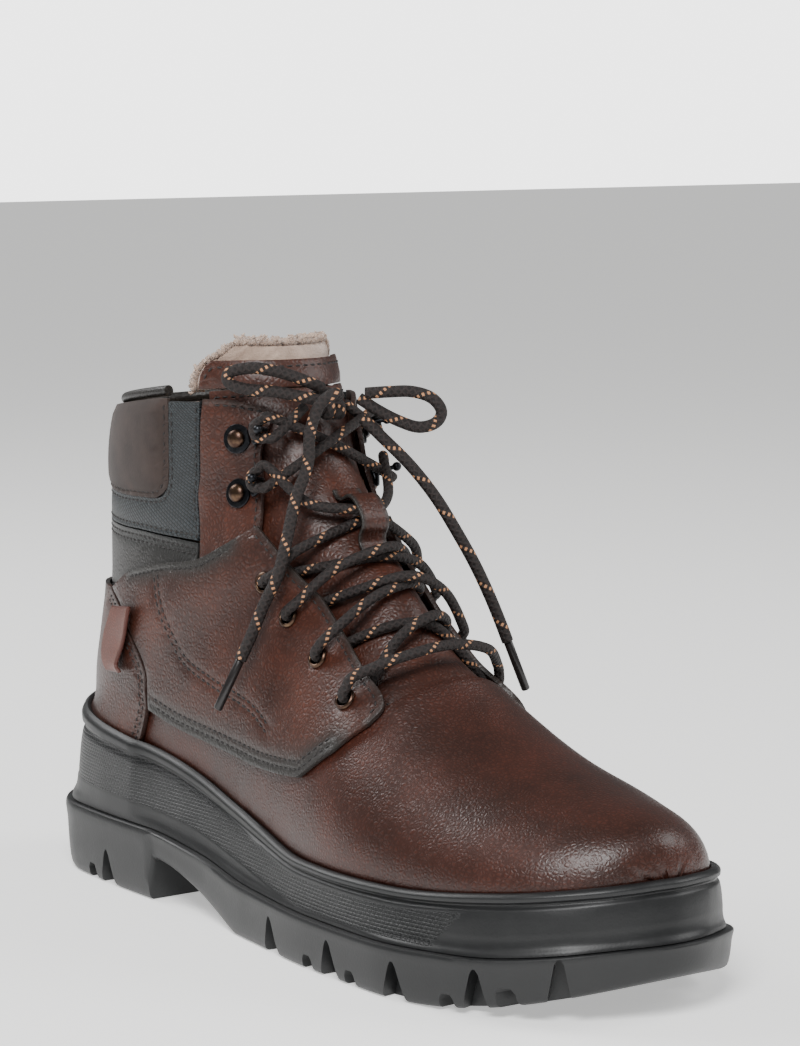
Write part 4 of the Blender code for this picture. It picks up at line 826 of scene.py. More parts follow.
    def circle(self, place: tuple, radius: float, count: int = 28) -> Array:
        """A round hole's places."""
        flat = np.array([place], float)
        n, p = self.normal(flat)[0], self.at(flat)[0]
        e1 = unit((self.at(flat + [0.004, 0]) - self.at(flat - [0.004, 0]))[0])
        e2 = np.cross(n, e1)
        a = np.linspace(0, 2 * math.pi, count, endpoint=False)[:, None]
        return self.nearest(np.repeat(flat, count, 0), p + radius * (np.cos(a) * e1 + np.sin(a) * e2))

    def frame(self, place: tuple, lift: float = 0.0) -> Matrix:
        """Matrix at a place: Z outwards, X towards the instep line."""
        flat = np.array([place], float)
        z = self.normal(flat)[0]
        x = (self.at(flat * [1.0, 0.9]) - self.at(flat))[0]
        x = unit(x - z * float(np.dot(x, z)))
        m = Matrix.Identity(4)
        for k, axis in enumerate((x, np.cross(z, x), z)):
            for r in range(3):
                m[r][k] = axis[r]
        m.translation = Vector(self.at(flat, lift)[0]) * MM
        return m


def apart(points: Array, others: Array) -> Array:
    """Distance from each point to the nearest of the others."""
    if len(others) == 0:
        return np.full(len(points), 1e6)
    out = np.empty(len(points))
    for k in range(0, len(points), 2000):
        block = points[k:k + 2000]
        out[k:k + 2000] = np.sqrt(((block[:, None] - others[None]) ** 2).sum(-1).min(1))
    return out


def within(loop: Array, points: Array) -> Array:
    """Which flat points lie inside a closed flat loop."""
    hit = np.zeros(len(points), bool)
    x, y = points[:, 0], points[:, 1]
    for (x0, y0), (x1, y1) in zip(loop, np.roll(loop, -1, axis=0)):
        if y0 == y1:
            continue
        hit ^= ((y0 > y) != (y1 > y)) & (x < (x1 - x0) * (y - y0) / (y1 - y0) + x0)
    return hit


# ---------------------------------------------------------------- sewn panels
@dataclass
class Edge:
    """One side of a panel: its line of places, stitch rows inside it, and wax rubbed in along it."""

    line: Array
    rows: tuple = ()
    burnish: float = 0.0
    spread: float = 5.0


@dataclass
class Panel:
    """A flat cut piece pulled over the last: outline, holes, rolled edges, sunk stitch rows."""

    last: Last
    name: str
    edges: Sequence[Edge]
    lift: Any
    thickness: float
    finish: Finish
    around: bool = False
    holes: Sequence[Array] = ()
    spacing: float = 2.9
    sunk: float = 0.32            # how far a stitch row pulls into the leather
    crown: float = 0.0            # how far padding behind it swells it between its edges
    crown_reach: float = 12.0
    roll: float = 0.38            # roundness of the cut edges
    extra_rows: Sequence[Array] = ()
    scale: tuple = (420.0, 130.0)

    def __post_init__(self) -> None:
        """Lays out the outline and the stitch rows."""
        ways = [(edge.line, run_length(self.at(edge.line))) for edge in self.edges]
        loop = np.concatenate([read_at(line, s, ticks(s, 2.2)) for line, s in ways])
        solid_loop = self.at(loop)
        keep = [0]
        for k in range(1, len(loop)):
            if np.linalg.norm(solid_loop[k] - solid_loop[keep[-1]]) > 1.1:
                keep.append(k)
        if np.linalg.norm(solid_loop[keep[-1]] - solid_loop[0]) < 1.1:
            keep.pop()
        loop = loop[keep]
        full = []
        for a, b in zip(loop, np.roll(loop, -1, axis=0)):
            gap = float(np.linalg.norm(self.at([b])[0] - self.at([a])[0]))
            for t in np.arange(max(1, int(gap / 2.6))) / max(1, int(gap / 2.6)):
                full.append(a + (b - a) * t)
        self.loop = np.array(full)
        self.rows_3, self.rows_flat = [], []
        for edge in self.edges:
            for distance in edge.rows:
                probe = self.last.beside(edge.line, 2.0, self.around)[len(edge.line) // 2]
                sign = 1.0 if within(self.loop, probe[None])[0] else -1.0
                self.add_row(self.last.beside(edge.line, sign * distance, self.around), distance)
        for line in self.extra_rows:
            self.add_row(np.asarray(line, float), 0.0)

    def add_row(self, line: Array, distance: float) -> None:
        """Keeps the part of a stitch row that lies inside the outline."""
        s = run_length(self.at(line))
        fine = read_at(line, s, np.linspace(0, s[-1], max(2, int(s[-1] / 1.5) + 1)))
        good = within(self.loop, fine) & (apart(self.at(fine), self.at(self.loop)) > min(distance * 0.75, 1.2))
        fine = fine[good]
        if len(fine) > 3:
            self.rows_flat.append(fine)
            self.rows_3.append(self.at(fine))

    def at(self, places: Any, lift: Any = 0.0) -> Array:
        """Points on the last for this panel's kind of places."""
        return self.last.at(places, lift, self.around)

    def height(self, flat: Array) -> Array:
        """The sheet's height above the last at its places."""
        base = self.lift(flat) if callable(self.lift) else np.full(len(flat), float(self.lift))
        here = self.at(flat)
        if self.rows_3:
            d = apart(here, np.concatenate(self.rows_3))
            base = base - self.sunk * np.exp(-(d / 0.8) ** 2)
        if self.crown:
            d = apart(here, self.at(self.loop))
            t = np.clip(d / self.crown_reach, 0, 1)
            base = base + self.crown * np.sqrt(np.clip(1 - (1 - t) ** 2, 0, 1))
        return base

    def fill(self, fixed: Array) -> Array:
        """Places inside the outline, evenly spread over the surface."""
        low, high = self.loop.min(axis=0), self.loop.max(axis=0)
        mids = np.linspace(low[1], high[1], 9)
        us = np.linspace(low[0], high[0], 15)
        fastest = 0.0
        for u in us:
            row = np.stack([np.full(9, u), mids], -1)
            reach = np.linalg.norm(self.at(row + [0.004, 0]) - self.at(row - [0.004, 0]), axis=1) / 0.008
            fastest = max(fastest, float(reach.max()))
        du = self.spacing / fastest * 1.25
        found = []
        for i, u in enumerate(np.arange(low[0], high[0], du)):
            vs = np.linspace(low[1], high[1], 61)
            row = np.stack([np.full(61, u), vs], -1)
            s = run_length(self.at(row))
            count = max(2, int(s[-1] / self.spacing))
            t = (np.arange(count) + (0.5 if i % 2 else 0.0)) / count * s[-1]
            v = np.interp(t, s, vs)
            places = np.stack([np.full(count, u), v], -1)
            reach = np.linalg.norm(self.at(places + [0.004, 0]) - self.at(places - [0.004, 0]), axis=1) / 0.008
            every = 2 ** np.clip(np.round(np.log2(self.spacing / (reach * du) + 1e-9)), 0, 3)
            found.append(places[(i % every) == 0])
        flat = np.concatenate(found)
        flat = flat[within(self.loop, flat)]
        for hole in self.holes:
            flat = flat[~within(hole, flat)]
        return flat[apart(self.at(flat), fixed) > self.spacing * 0.5]

    def build(self) -> Object:
        """The panel as a mesh object with its thickness and rolled edges."""
        loops = [self.loop] + [np.asarray(h) for h in self.holes]
        seams = []
        for line in self.rows_flat:
            for d in (0.0, 1.0, -1.0):
                near = self.last.beside(line, d, self.around) if d else line
                near = near[within(self.loop, near)]
                seams.append(near[apart(self.at(near), self.at(self.loop)) > 0.7])
        border = np.concatenate(loops)
        sewn = np.concatenate(seams) if seams else np.empty((0, 2))
        if len(sewn):
            kept = [0]
            sewn_3 = self.at(sewn)
            for k in range(1, len(sewn)):
                if np.min(np.linalg.norm(sewn_3[kept[-60:]] - sewn_3[k], axis=1)) > 0.6:
                    kept.append(k)
            sewn = sewn[kept]
        fixed = self.at(np.concatenate([border, sewn]))
        flat = np.concatenate([border, sewn, self.fill(fixed)])
        edges, base = [], 0
        for loop in loops:
            edges += [(base + k, base + (k + 1) % len(loop)) for k in range(len(loop))]
            base += len(loop)
        size = np.array(self.scale)
        verts, _, faces, *_ = geometry.delaunay_2d_cdt([Vector(q) for q in flat * size], edges, [], 1, 1e-6)
        flat = np.array([[v.x, v.y] for v in verts]) / size
        faces = [f for f in faces if len(f) >= 3]
        centres = np.array([flat[list(f)].mean(axis=0) for f in faces])
        good = np.ones(len(faces), bool)
        for hole in self.holes:
            good &= ~within(np.asarray(hole), centres)
        faces = [f for f, g in zip(faces, good) if g]
        here = self.at(flat, self.height(flat))
        tri = np.array([f[:3] for f in faces])
        cross = np.cross(here[tri[:, 1]] - here[tri[:, 0]], here[tri[:, 2]] - here[tri[:, 0]])
        out = self.at(flat[tri[:, 0]], 1.0) - self.at(flat[tri[:, 0]])
        if float(np.sum(cross * out)) < 0:
            faces = [tuple(f)[::-1] for f in faces]
        obj = solid(self.name, here, faces, self.finish, 60)
        wax = np.zeros(len(flat))
        for edge in self.edges:
            if edge.burnish > 0:
                d = apart(here, self.at(edge.line))
                wax = np.maximum(wax, edge.burnish * np.exp(-(d / edge.spread) ** 1.4))
        write_value(obj, "burnish", wax)
        write_uv(obj, "cloth", self.unrolled(flat))
        thicken(obj, self.thickness, 1.0, self.roll, 55)
        obj.data.shade_smooth()
        obj.data.set_sharp_from_angle(angle=math.radians(75))
        return obj

    def unrolled(self, flat: Array) -> Array:
        """Places as lengths in millimetres, up the boot and round it."""
        mid = float(self.loop[:, 0].mean())
        middle = float(self.loop[:, 1].mean())
        up = run_length(self.at(np.stack([self.last.us, np.full(self.last.rows, middle)], -1)))
        ws = np.linspace(-1, 1, 121)
        round_it = run_length(self.at(np.stack([np.full(121, mid), ws], -1)))
        return np.stack([np.interp(flat[:, 1], ws, round_it), np.interp(flat[:, 0], self.last.us, up)], -1)

    def sew(self, name: str, pitch: float = 3.1) -> Optional[Object]:
        """The panel's stitches, as short lengths of thread."""
        spots, ahead, out = [], [], []
        for line in self.rows_flat:
            p = self.at(line, self.height(line) + self.thickness + 0.02)
            s = run_length(p)
            for part in np.split(np.arange(len(line)), np.where(np.diff(s) > 4.0)[0] + 1):
                if len(part) < 3:
                    continue
                q, t0 = p[part], run_length(p[part])
                t = (np.arange(int(t0[-1] / pitch)) + 0.5) * pitch
                spots.append(read_at(q, t0, t))
                ahead.append(unit(read_at(q, t0, t + 0.5) - read_at(q, t0, t - 0.5)))
                out.append(self.last.normal(read_at(line[part], t0, t), self.around))
        if not spots:
            return None
        return stitches(name, np.concatenate(spots), np.concatenate(ahead), np.concatenate(out))


def stitches(name: str, spots: Array, ahead: Array, out: Array, length: float = 2.35, width: float = 0.72) -> Object:
    """Many short lengths of thread, each sunk at its ends.

    Args:
        name: the object's name.
        spots: middle of each stitch.
        ahead: direction of each.
        out: direction away from the leather.
        length: length of a stitch.
        width: thickness of the thread.

    Returns:
        One object with every stitch.
    """
    side = unit(np.cross(out, ahead))
    ts = np.array([-1.0, -0.82, -0.4, 0.0, 0.4, 0.82, 1.0])
    wide = np.array([0.15, 0.7, 1.0, 1.0, 1.0, 0.7, 0.15]) * width / 2
    rise = np.array([-0.28, -0.08, 0.14, 0.2, 0.14, -0.08, -0.28])
    ring = np.linspace(0, 2 * math.pi, 6, endpoint=False)
    parts = []
    for t, w, r in zip(ts, wide, rise):
        centre = spots + ahead * (t * length / 2) + out * r
        for a in ring:
            parts.append(centre + side * (w * math.cos(a)) + out * (w * 0.8 * math.sin(a)))
    verts = np.stack(parts, 1).reshape(-1, 3)
    one = quads(7, 6, True) + [tuple(range(6))[::-1], tuple(range(36, 42))]
    faces = [tuple(q + k * 42 for q in face) for k in range(len(spots)) for face in one]
    return solid(name, verts, faces, THREAD, 80)


# ---------------------------------------------------------------- soft layers
@dataclass
class Pillow:
    """A soft layer between two lines of the last, rounded at its edges: foam or pile."""

    last: Last
    name: str
    u_range: tuple
    span: Any                     # half width as a function of u, or (from, to)
    middle: Any                   # height of its middle above the last, number or function of u
    thickness: float
    finish: Finish
    around: bool = False
    spacing: float = 2.4
    lumps: float = 0.0            # height of the tufts' unevenness
    lump_size: float = 4.0

    def limits(self, u: float) -> tuple:
        """First and last place across at one u."""
        if callable(self.span):
            return -self.span(u), self.span(u)
        return self.span

    @staticmethod
    def ticks(length: float, step: float, edge: float) -> Array:
        """Shares from 0 to 1, close together near both ends."""
        near = np.array([0.0, 0.1, 0.35, 0.7]) * edge
        inside = np.linspace(edge, length - edge, max(2, int((length - 2 * edge) / step) + 1))
        return np.concatenate([near, inside, length - near[::-1]]) / length

    def build(self) -> Object:
        """The layer as a closed mesh."""
        edge = self.thickness * 0.55
        u0, u1 = self.u_range
        mid = sum(self.limits(0.5 * (u0 + u1))) / 2
        long = float(run_length(self.last.at([(u, mid) for u in np.linspace(u0, u1, 40)], 0, self.around))[-1])
        a, b = self.limits(0.5 * (u0 + u1))
        wide = float(run_length(self.last.at([(0.5 * (u0 + u1), v) for v in np.linspace(a, b, 80)], 0,
            self.around))[-1])
        ts, ws = self.ticks(long, self.spacing, edge), self.ticks(wide, self.spacing, edge)
        flat = np.array([(u0 + (u1 - u0) * t, self.limits(u0 + (u1 - u0) * t)[0] * (1 - w) + self.limits(u0
            + (u1 - u0) * t)[1] * w) for t in ts for w in ws])
        rise = np.array([self.middle(u) for u in flat[:, 0]]) if callable(self.middle) else float(self.middle)
        t, w = np.repeat(ts, len(ws)) * long, np.tile(ws, len(ts)) * wide
        reach = np.minimum(np.minimum(t, long - t), np.minimum(w, wide - w))
        part = np.clip(reach / edge, 0, 1)
        half = 0.5 * self.thickness * np.sqrt(np.clip(1 - (1 - part) ** 2, 0, 1))
        n, m = len(ts), len(ws)
        top = self.last.at(flat, rise + half, self.around)
        low = self.last.at(flat, rise - half, self.around)
        border = np.zeros((n, m), bool)
        border[0], border[-1], border[:, 0], border[:, -1] = True, True, True, True
        index = np.arange(n * m).reshape(n, m)
        under = np.where(border, index, 0)
        under[~border] = n * m + np.arange(int((~border).sum()))
        verts = np.concatenate([top, low[~border.ravel()]])
        faces = []
        for i in range(n - 1):
            for j in range(m - 1):
                faces.append((index[i, j], index[i, j + 1], index[i + 1, j + 1], index[i + 1, j]))
                faces.append((under[i, j], under[i + 1, j], under[i + 1, j + 1], under[i, j + 1]))
        obj = solid(self.name, verts, faces, self.finish, 80)
        facing_out(obj)
        if self.lumps:
            rough(obj, self.lumps, self.lump_size)
        return obj


def rough(obj: Object, high: float, size: float) -> None:
    """Raises a pile's surface in tufts, and stores how high each point stands.

    Args:
        obj: the pile's mesh.
        high: height of the tallest tuft.
        size: distance between tufts.
    """
    normals = np.empty(len(obj.data.vertices) * 3, np.float32)
    places = np.empty_like(normals)
    obj.data.vertices.foreach_get("co", places)
    obj.data.vertex_normals.foreach_get("vector", normals)
    p, n = places.reshape(-1, 3) / MM, normals.reshape(-1, 3)
    tall = np.empty(len(p))
    for k, q in enumerate(p):
        near = noise.voronoi(Vector(q) / size)[0]
        tall[k] = max(0.0, 1.0 - near[0] * 1.15) * 0.75 + 0.25 * (noise.noise(Vector(q) / (size * 0.45)) + 0.5)
    tall = np.clip(tall, 0, 1)
    obj.data.vertices.foreach_set("co", ((p + n * (tall * high)[:, None]) * MM).ravel().astype(np.float32))
    write_value(obj, "tuft", tall)
    obj.data.update()


def tufts(name: str, roots: Array, out: Array, seed: int, length: float = 4.2, thick: float = 0.62) -> Object:
    """Short curled locks of pile standing on a surface.

    Args:
        name: the object's name.
        roots: where they grow.
        out: direction that they stand in.
        seed: number that fixes their scatter.
        length: length of a lock.
        thick: its thickness at the root.

    Returns:
        One object with every lock.
    """
    count = len(roots)
    r = spread((count, 6), seed)
    side = unit(np.cross(out, unit(r[:, :3] - 0.5)))
    other = np.cross(out, side)
    long = length * (0.65 + 0.6 * r[:, 3])
    turns = 1.0 + 1.3 * r[:, 4]
    curl = 0.55 + 0.7 * r[:, 5]
    steps, sides = 7, 5
    path = []
    for i in range(steps):
        s = i / (steps - 1)
        a = 2 * math.pi * turns * s
        drift = s ** 1.5 * 1.6
        path.append(roots + out * (long * (s - 0.25 * s * s))[:, None] + side * (curl * s ** 0.6 * np.cos(a) + drift
            * (r[:, 0] - 0.5))[:, None] + other * (curl * s ** 0.6 * np.sin(a) + drift * (r[:, 1] - 0.5))[:, None])
    p = np.stack(path, 1)
    ahead = unit(np.gradient(p, axis=1))
    e1 = unit(np.cross(ahead, out[:, None]))
    e2 = np.cross(ahead, e1)
    taper = thick * np.array([0.8, 1.0, 1.0, 0.95, 0.85, 0.6, 0.2])
    ring = np.linspace(0, 2 * math.pi, sides, endpoint=False)
    verts = (p[:, :, None] + taper[None, :, None, None] * (np.cos(ring)[None, None, :, None] * e1[:, :, None]
        + np.sin(ring)[None, None, :, None] * e2[:, :, None]))
    one = quads(steps, sides, True) + [tuple(range(sides))[::-1], tuple(range((steps - 1) * sides, steps * sides))]
    faces = [tuple(q + k * steps * sides for q in face) for k in range(count) for face in one]
    obj = solid(name, verts.reshape(-1, 3), faces, PILE, 80)
    high = np.tile(np.repeat(np.linspace(0.15, 1.0, steps), sides), count)
    write_value(obj, "tuft", high)
    return obj


# ---------------------------------------------------------------- the room
@dataclass
class Studio:
    """Pale floor, soft lights and the camera."""

    eye: tuple = (-0.66515, -0.92020, 0.28350)
    aim: tuple = (0.04142, 0.03742, 0.12932)
    lens: float = 118.33
    floor_colour: str = "#FBFBFA"
    floor_glow: float = 0.55

    def place_camera(self) -> None:
        """Puts the camera in front of the boot's outer side."""
        camera = bpy.data.objects.new("camera", bpy.data.cameras.new("camera"))
        camera.data.lens = self.lens
        camera.data.sensor_width = 36.0
        camera.location = self.eye
        camera.rotation_euler = (Vector(self.aim) - Vector(self.eye)).to_track_quat("-Z", "Y").to_euler()
        bpy.context.scene.collection.objects.link(camera)
        bpy.context.scene.camera = camera

    def light(self, name: str, place: tuple, size: float, power: float) -> None:
        """One soft lamp aimed at the middle of the boot."""
        lamp = bpy.data.lights.new(name, "AREA")
        lamp.shape = "DISK"
        lamp.size = size
        lamp.energy = power
        obj = bpy.data.objects.new(name, lamp)
        obj.location = place
        obj.rotation_euler = (Vector((0, 0, 0.09)) - Vector(place)).to_track_quat("-Z", "Y").to_euler()
        bpy.context.scene.collection.objects.link(obj)

    def furnish(self) -> None:
        """Floor, lamps and an even pale surround."""
        bm = bmesh.new()
        for x, y in ((-6, -6), (6, -6), (6, 6), (-6, 6)):
            bm.verts.new((x, y, -0.0002))
        bm.faces.new(bm.verts)
        mesh = bpy.data.meshes.new("floor")
        bm.to_mesh(mesh)
        bm.free()
        floor = bpy.data.objects.new("floor", mesh)
        bpy.context.scene.collection.objects.link(floor)
        paint = Finish("matt_painted_floor", self.floor_colour, 0.9).material()
        coat = paint.node_tree.nodes["Principled BSDF"]
        coat.inputs["Emission Color"].default_value = linear(self.floor_colour)
        coat.inputs["Emission Strength"].default_value = self.floor_glow
        mesh.materials.append(paint)
        self.light("key_lamp", (-0.75, -0.75, 1.15), 0.7, 24.0)
        self.light("fill_lamp", (0.95, -0.55, 0.85), 0.8, 7.0)
        self.light("rim_lamp", (-0.35, 0.95, 0.95), 0.7, 10.0)
        world = bpy.data.worlds.new("surround")
        world.use_nodes = True
        tree = world.node_tree
        seen = add_node(tree, "LightPath")
        level = add_node(tree, "MapRange", {"Value": (seen, "Is Camera Ray"), "To Min": 0.2, "To Max": 3.5})
        tree.nodes["Background"].inputs["Color"].default_value = linear("#FFFFFF")
        tree.links.new(level.outputs[0], tree.nodes["Background"].inputs["Strength"])
        bpy.context.scene.world = world


# ---------------------------------------------------------------- sole
@dataclass
class Sole:
    """Moulded rubber unit: lugged outsole, and the cup that holds the upper."""

    last: Last
    shell: list
    half_length: float = 156.0
    outer: tuple = ((-156, 4), (-150, -14), (-138, -32), (-106, -50), (-72, -56.5), (-40, -56), (5, -51), (45, -46),
        (85, -45.5), (124, -43), (149, -28), (156, 0))
    inner: tuple = ((-156, 4), (-151, 22), (-140, 37), (-118, 46), (-80, 51), (-40, 48), (0, 40), (38, 38), (85, 41),
        (124, 41), (149, 27), (156, 0))
    top_y: tuple = (-156, -110, -60, 0, 40, 75, 156)
    top_z: tuple = (24, 18, 17, 18, 22, 25, 25)
    breast: float = 72.0
    arch: float = 15.0
    cup_depth: float = 15.0
    steps: int = 170
    notch_outer: tuple = (-138, -116, -85, -51, -15, 100)
    notch_inner: tuple = (-140, -114, -84, -52, -18, 102)

    def plan(self, outer: Any, inner: Any, y_toe: float, y_heel: float, inset: Any = 0.0) -> Array:
        """Closed outline seen from above, from the toe round the heel."""
        half, mid = 0.5 * (y_heel - y_toe), 0.5 * (y_heel + y_toe)
        angle = np.linspace(0, math.pi, self.steps + 1)
        y = mid - half * np.cos(angle)

        def side(table: Any) -> Array:
            """x along one side."""
            knots = [math.acos(max(-1.0, min(1.0, -(k - mid) / half))) for k, _ in table]
            return smooth(knots, [x for _, x in table], angle) + self.last.centre_shift

        loop = np.concatenate([np.stack([side(outer), y], -1), np.stack([side(inner), y], -1)[1:-1][::-1]])
        ahead = np.roll(loop, -3, axis=0) - np.roll(loop, 3, axis=0)
        normal = unit(np.stack([-ahead[:, 1], ahead[:, 0]], -1))
        return loop - normal * inset

    def edge(self, inset: Any) -> Array:
        """The outsole's outline."""
        return self.plan(self.outer, self.inner, -self.half_length, self.half_length, inset)

    def feather(self, outset: Any) -> Array:
        """The upper's lower edge, pushed outwards."""
        last = self.last
        outer = [(y, smooth(last.centre_y, last.centre_x, y) - w) for y, w in zip(last.feather_y, last.feather_outer)]
        inner = [(y, smooth(last.centre_y, last.centre_x, y) + w) for y, w in zip(last.feather_y, last.feather_inner)]
        ends = last.feather_y[0], last.feather_y[-1]
        if callable(outset):
            outset = outset(self.plan(outer, inner, *ends)[:, 1])[:, None]
        return self.plan(outer, inner, *ends, -outset)

    def ground(self, y: Any) -> Array:
        """Underside: toe spring, arch and heel bevel."""
        y = np.asarray(y, float)
        spring = 14.0 * np.clip((-y - 85) / 70, 0, 2) ** 2
        bevel = 4.0 * np.clip((y - 125) / 30, 0, 2) ** 2
        arch = smooth((15, 30, 45, 60, self.breast - 3, self.breast), (0, 5, 10, 14, self.arch, 0), y)
        return spring + bevel + arch

    def top(self, y: Any) -> Array:
        """Where the outsole meets the cup."""
        return smooth(self.top_y, self.top_z, y)

    def stacked(self, name: str, rows: list, finish: Finish) -> Object:
        """Closed body from outlines stacked bottom to top, capped straight across."""
        n = len(rows[0])
        verts = np.concatenate(rows)
        faces = quads(len(rows), n, True)
        for base, flip in ((0, False), ((len(rows) - 1) * n, True)):
            for k in range(n // 2):
                quad = [base + k, base + k + 1, base + (n - k - 1) % n, base + (n - k) % n]
                quad = [q for i, q in enumerate(quad) if q not in quad[:i]]
                if len(quad) > 2:
                    faces.append(tuple(quad if flip else quad[::-1]))
        obj = solid(name, verts, faces, finish, 35)
        facing_out(obj)
        write_uv(obj, "wall", np.column_stack([np.tile(run_length(rows[0][:, :2]), len(rows)), verts[:, 2]]))
        return obj

    def cutter(self, blocks: list) -> Object:
        """Bars with sloping, rounded sides, for cutting the tread.

        Args:
            blocks: centre x and y, angle, length, lower and upper width, and top height of each bar.

        Returns:
            One hidden object to cut with.
        """
        verts, faces = [], []
        for x, y, angle, length, low, high, top in blocks:
            section = [(-low / 2, -6.0), (-low / 2 + 0.4, 0.3), (-high / 2 - 0.3, top - 1.6), (-high / 2 + 0.7, top),
                (high / 2 - 0.7, top), (high / 2 + 0.3, top - 1.6), (low / 2 - 0.4, 0.3), (low / 2, -6.0)]
            base = len(verts)
            for along in (-length / 2, length / 2):
                for across, z in section:
                    verts.append((x + along * math.cos(angle) - across * math.sin(angle), y + along * math.sin(angle)
                        + across * math.cos(angle), z))
            n = len(section)
            faces += [(base + k, base + (k + 1) % n, base + n + (k + 1) % n, base + n + k) for k in range(n)]
            faces += [tuple(base + k for k in range(n))[::-1], tuple(base + n + k for k in range(n))]
        obj = solid("tread_cutter", np.array(verts), faces, RUBBER)
        facing_out(obj)
        return obj

    def cut(self, obj: Object, tool: Object) -> None:
        """Takes a cutter out of a body and removes the cutter."""
        hole = obj.modifiers.new("cut", "BOOLEAN")
        hole.operation = "DIFFERENCE"
        hole.object = tool
        hole.solver = "EXACT"
        settle(obj)
        bpy.data.objects.remove(tool, do_unlink=True)

    def channels(self) -> list:
        """Channels right across the sole between the lugs."""
        out = []
        for k, y in enumerate((-128, -100, -68, -33)):
            out.append((0, y, math.radians(6 if k % 2 else -6), 130, 7.0, 4.5, float(self.ground(y)) + 5.0))
        out.append((0, 112, 0.0, 110, 7.0, 4.5, 5.5))
        return out

    def notches(self) -> list:
        """V-shaped notches round the edge between the lugs."""
        loop = self.edge(0.0)
        half = len(loop) // 2
        out = []
        for table, ys in ((loop[:half], self.notch_outer), (loop[half:], self.notch_inner)):
            for at in ys:
                k = int(np.argmin(np.abs(table[:, 1] - at)))
                x, y = table[k]
                ahead = table[min(k + 3, len(table) - 1)] - table[k - 3]
                out.append((x, y, math.atan2(ahead[1], ahead[0]) + math.pi / 2, 15, 11.0, 2.4, float(self.ground(y))
                    + 12.5))
        return out

    def outsole(self) -> Object:
        """Tread block with its lugs."""
        rows = []
        for share, inset in ((0.0, 3.4), (0.02, 2.6), (0.06, 2.0), (0.14, 1.55), (0.3, 1.15), (0.5, 0.85), (0.7, 0.6),
                (0.82, 0.25), (0.9, 0.0), (0.95, 0.1), (0.985, 0.5), (1.0, 1.2)):
            loop = self.edge(inset)
            low, high = self.ground(loop[:, 1]), self.top(loop[:, 1])
            rows.append(np.column_stack([loop, low + (high - low) * share]))
        obj = self.stacked("outsole_tread", rows, RUBBER)
        self.cut(obj, self.cutter(self.channels()))
        self.cut(obj, self.cutter(self.notches()))
        obj.data.shade_smooth()
        obj.data.set_sharp_from_angle(angle=math.radians(28))
        return obj

    def midsole(self) -> Object:
        """Cup: swept side, woven band, groove, rounded rim and inner wall."""
        wide = self.edge(2.4)
        rim = self.last.rim(wide[:, 1])
        base = self.top(wide[:, 1]) + 0.3
        shape = ((0.0, 0.0, 0.0), (0.04, 0.06, 0.2), (0.12, 0.32, 0.2), (0.22, 0.46, 0.3), (0.35, 0.56, 0.6), (0.72,
            0.86, 0.2), (0.79, 0.98, -0.6), (0.83, 1.0, -0.2), (0.86, 1.0, 0.7), (0.92, 1.0, 0.8), (0.965, 1.0, 0.2),
            (0.985, 1.0, -0.4), (1.0, 1.0, -1.3))
        wall = self.feather(lambda y: smooth((58, 78), (1.7, 3.4), y))
        inward = unit(self.feather(-3.0) - self.feather(3.0))
        base_loop = self.feather(5.4)
        met = self.lip(base_loop, wall, inward, rim)
        target = base_loop + inward * (met - 2.6)[:, None]
        keys = [row[0] for row in shape]
        rows, band = [], []
        shares = np.concatenate([np.linspace(0, 0.7, 30), np.linspace(0.72, 1.0, 19)])
        low_y, low_z = (-156, -100, -40, 20, 60, 156), (30, 18.6, 18.6, 25.5, 31.0, 34.5)
        for share in shares:
            mix = float(smooth(keys, [row[1] for row in shape], share))
            extra = float(smooth(keys, [row[2] for row in shape], share))
            loop = wide * (1 - mix) + (target - inward * extra) * mix
            z = base + (rim - base) * share
            y = wide[:, 1]
            inside = (np.clip((z - smooth(low_y, low_z, y)) / 0.8, 0, 1) * np.clip((rim - 5.3 - z) / 0.6, 0, 1)
                * np.clip((y + 104 + (z - 24) * 1.1) / 1.5, 0, 1))
            depth = 0.45 * inside
            middle = loop.mean(axis=0)
            loop = loop - unit(loop - middle) * depth[:, None]
            rows.append(np.column_stack([loop, z]))
            band.append(inside)
        crest = rows[-1][:, :2]
        lip = base_loop + inward * (met + 0.1)[:, None]
        for t, drop in ((0.35, 0.15), (0.8, 0.5), (1.0, 1.0)):
            rows.append(np.column_stack([crest * (1 - t) + lip * t, rim - drop]))
            band.append(np.zeros(len(rim)))
        for drop in (6.0, self.cup_depth):
            rows.append(np.column_stack([lip - inward * 0.2, rim - drop]))
            band.append(np.zeros(len(rim)))
        obj = self.stacked("midsole_cup", rows, RUBBER)
        write_value(obj, "band", np.concatenate(band))
        return obj

    def lip(self, base: Array, wall: Array, inward: Array, rim: Array) -> Array:
        """How far inwards the leather is met at the rim's height.

        Args:
            base: line outside the rim.
            wall: the cup's inner wall, used where no leather is met.
            inward: direction to look in, at each point.
            rim: the rim's height at each point.

        Returns:
            Distance from the base line to the leather at each point.
        """
        trees = [bvhtree.BVHTree.FromPolygons([v.co[:] for v in m.data.vertices], [tuple(p.vertices) for p in
            m.data.polygons]) for m in self.shell]
        reach = []
        for p, q, d, z in zip(base, wall, inward, rim - 1.0):
            hits = [tree.ray_cast(Vector((*(p - d * 4.0), z)) * MM, Vector((*d, 0.0)), 20 * MM)[3] for tree in trees]
            found = [h / MM - 4.0 for h in hits if h is not None]
            reach.append(min(found) if found else float(np.linalg.norm(q - p)))
        reach = np.array(reach)
        for _ in range(6):
            reach = np.minimum(reach, (np.roll(reach, 1) + reach + np.roll(reach, -1)) / 3)
        return reach

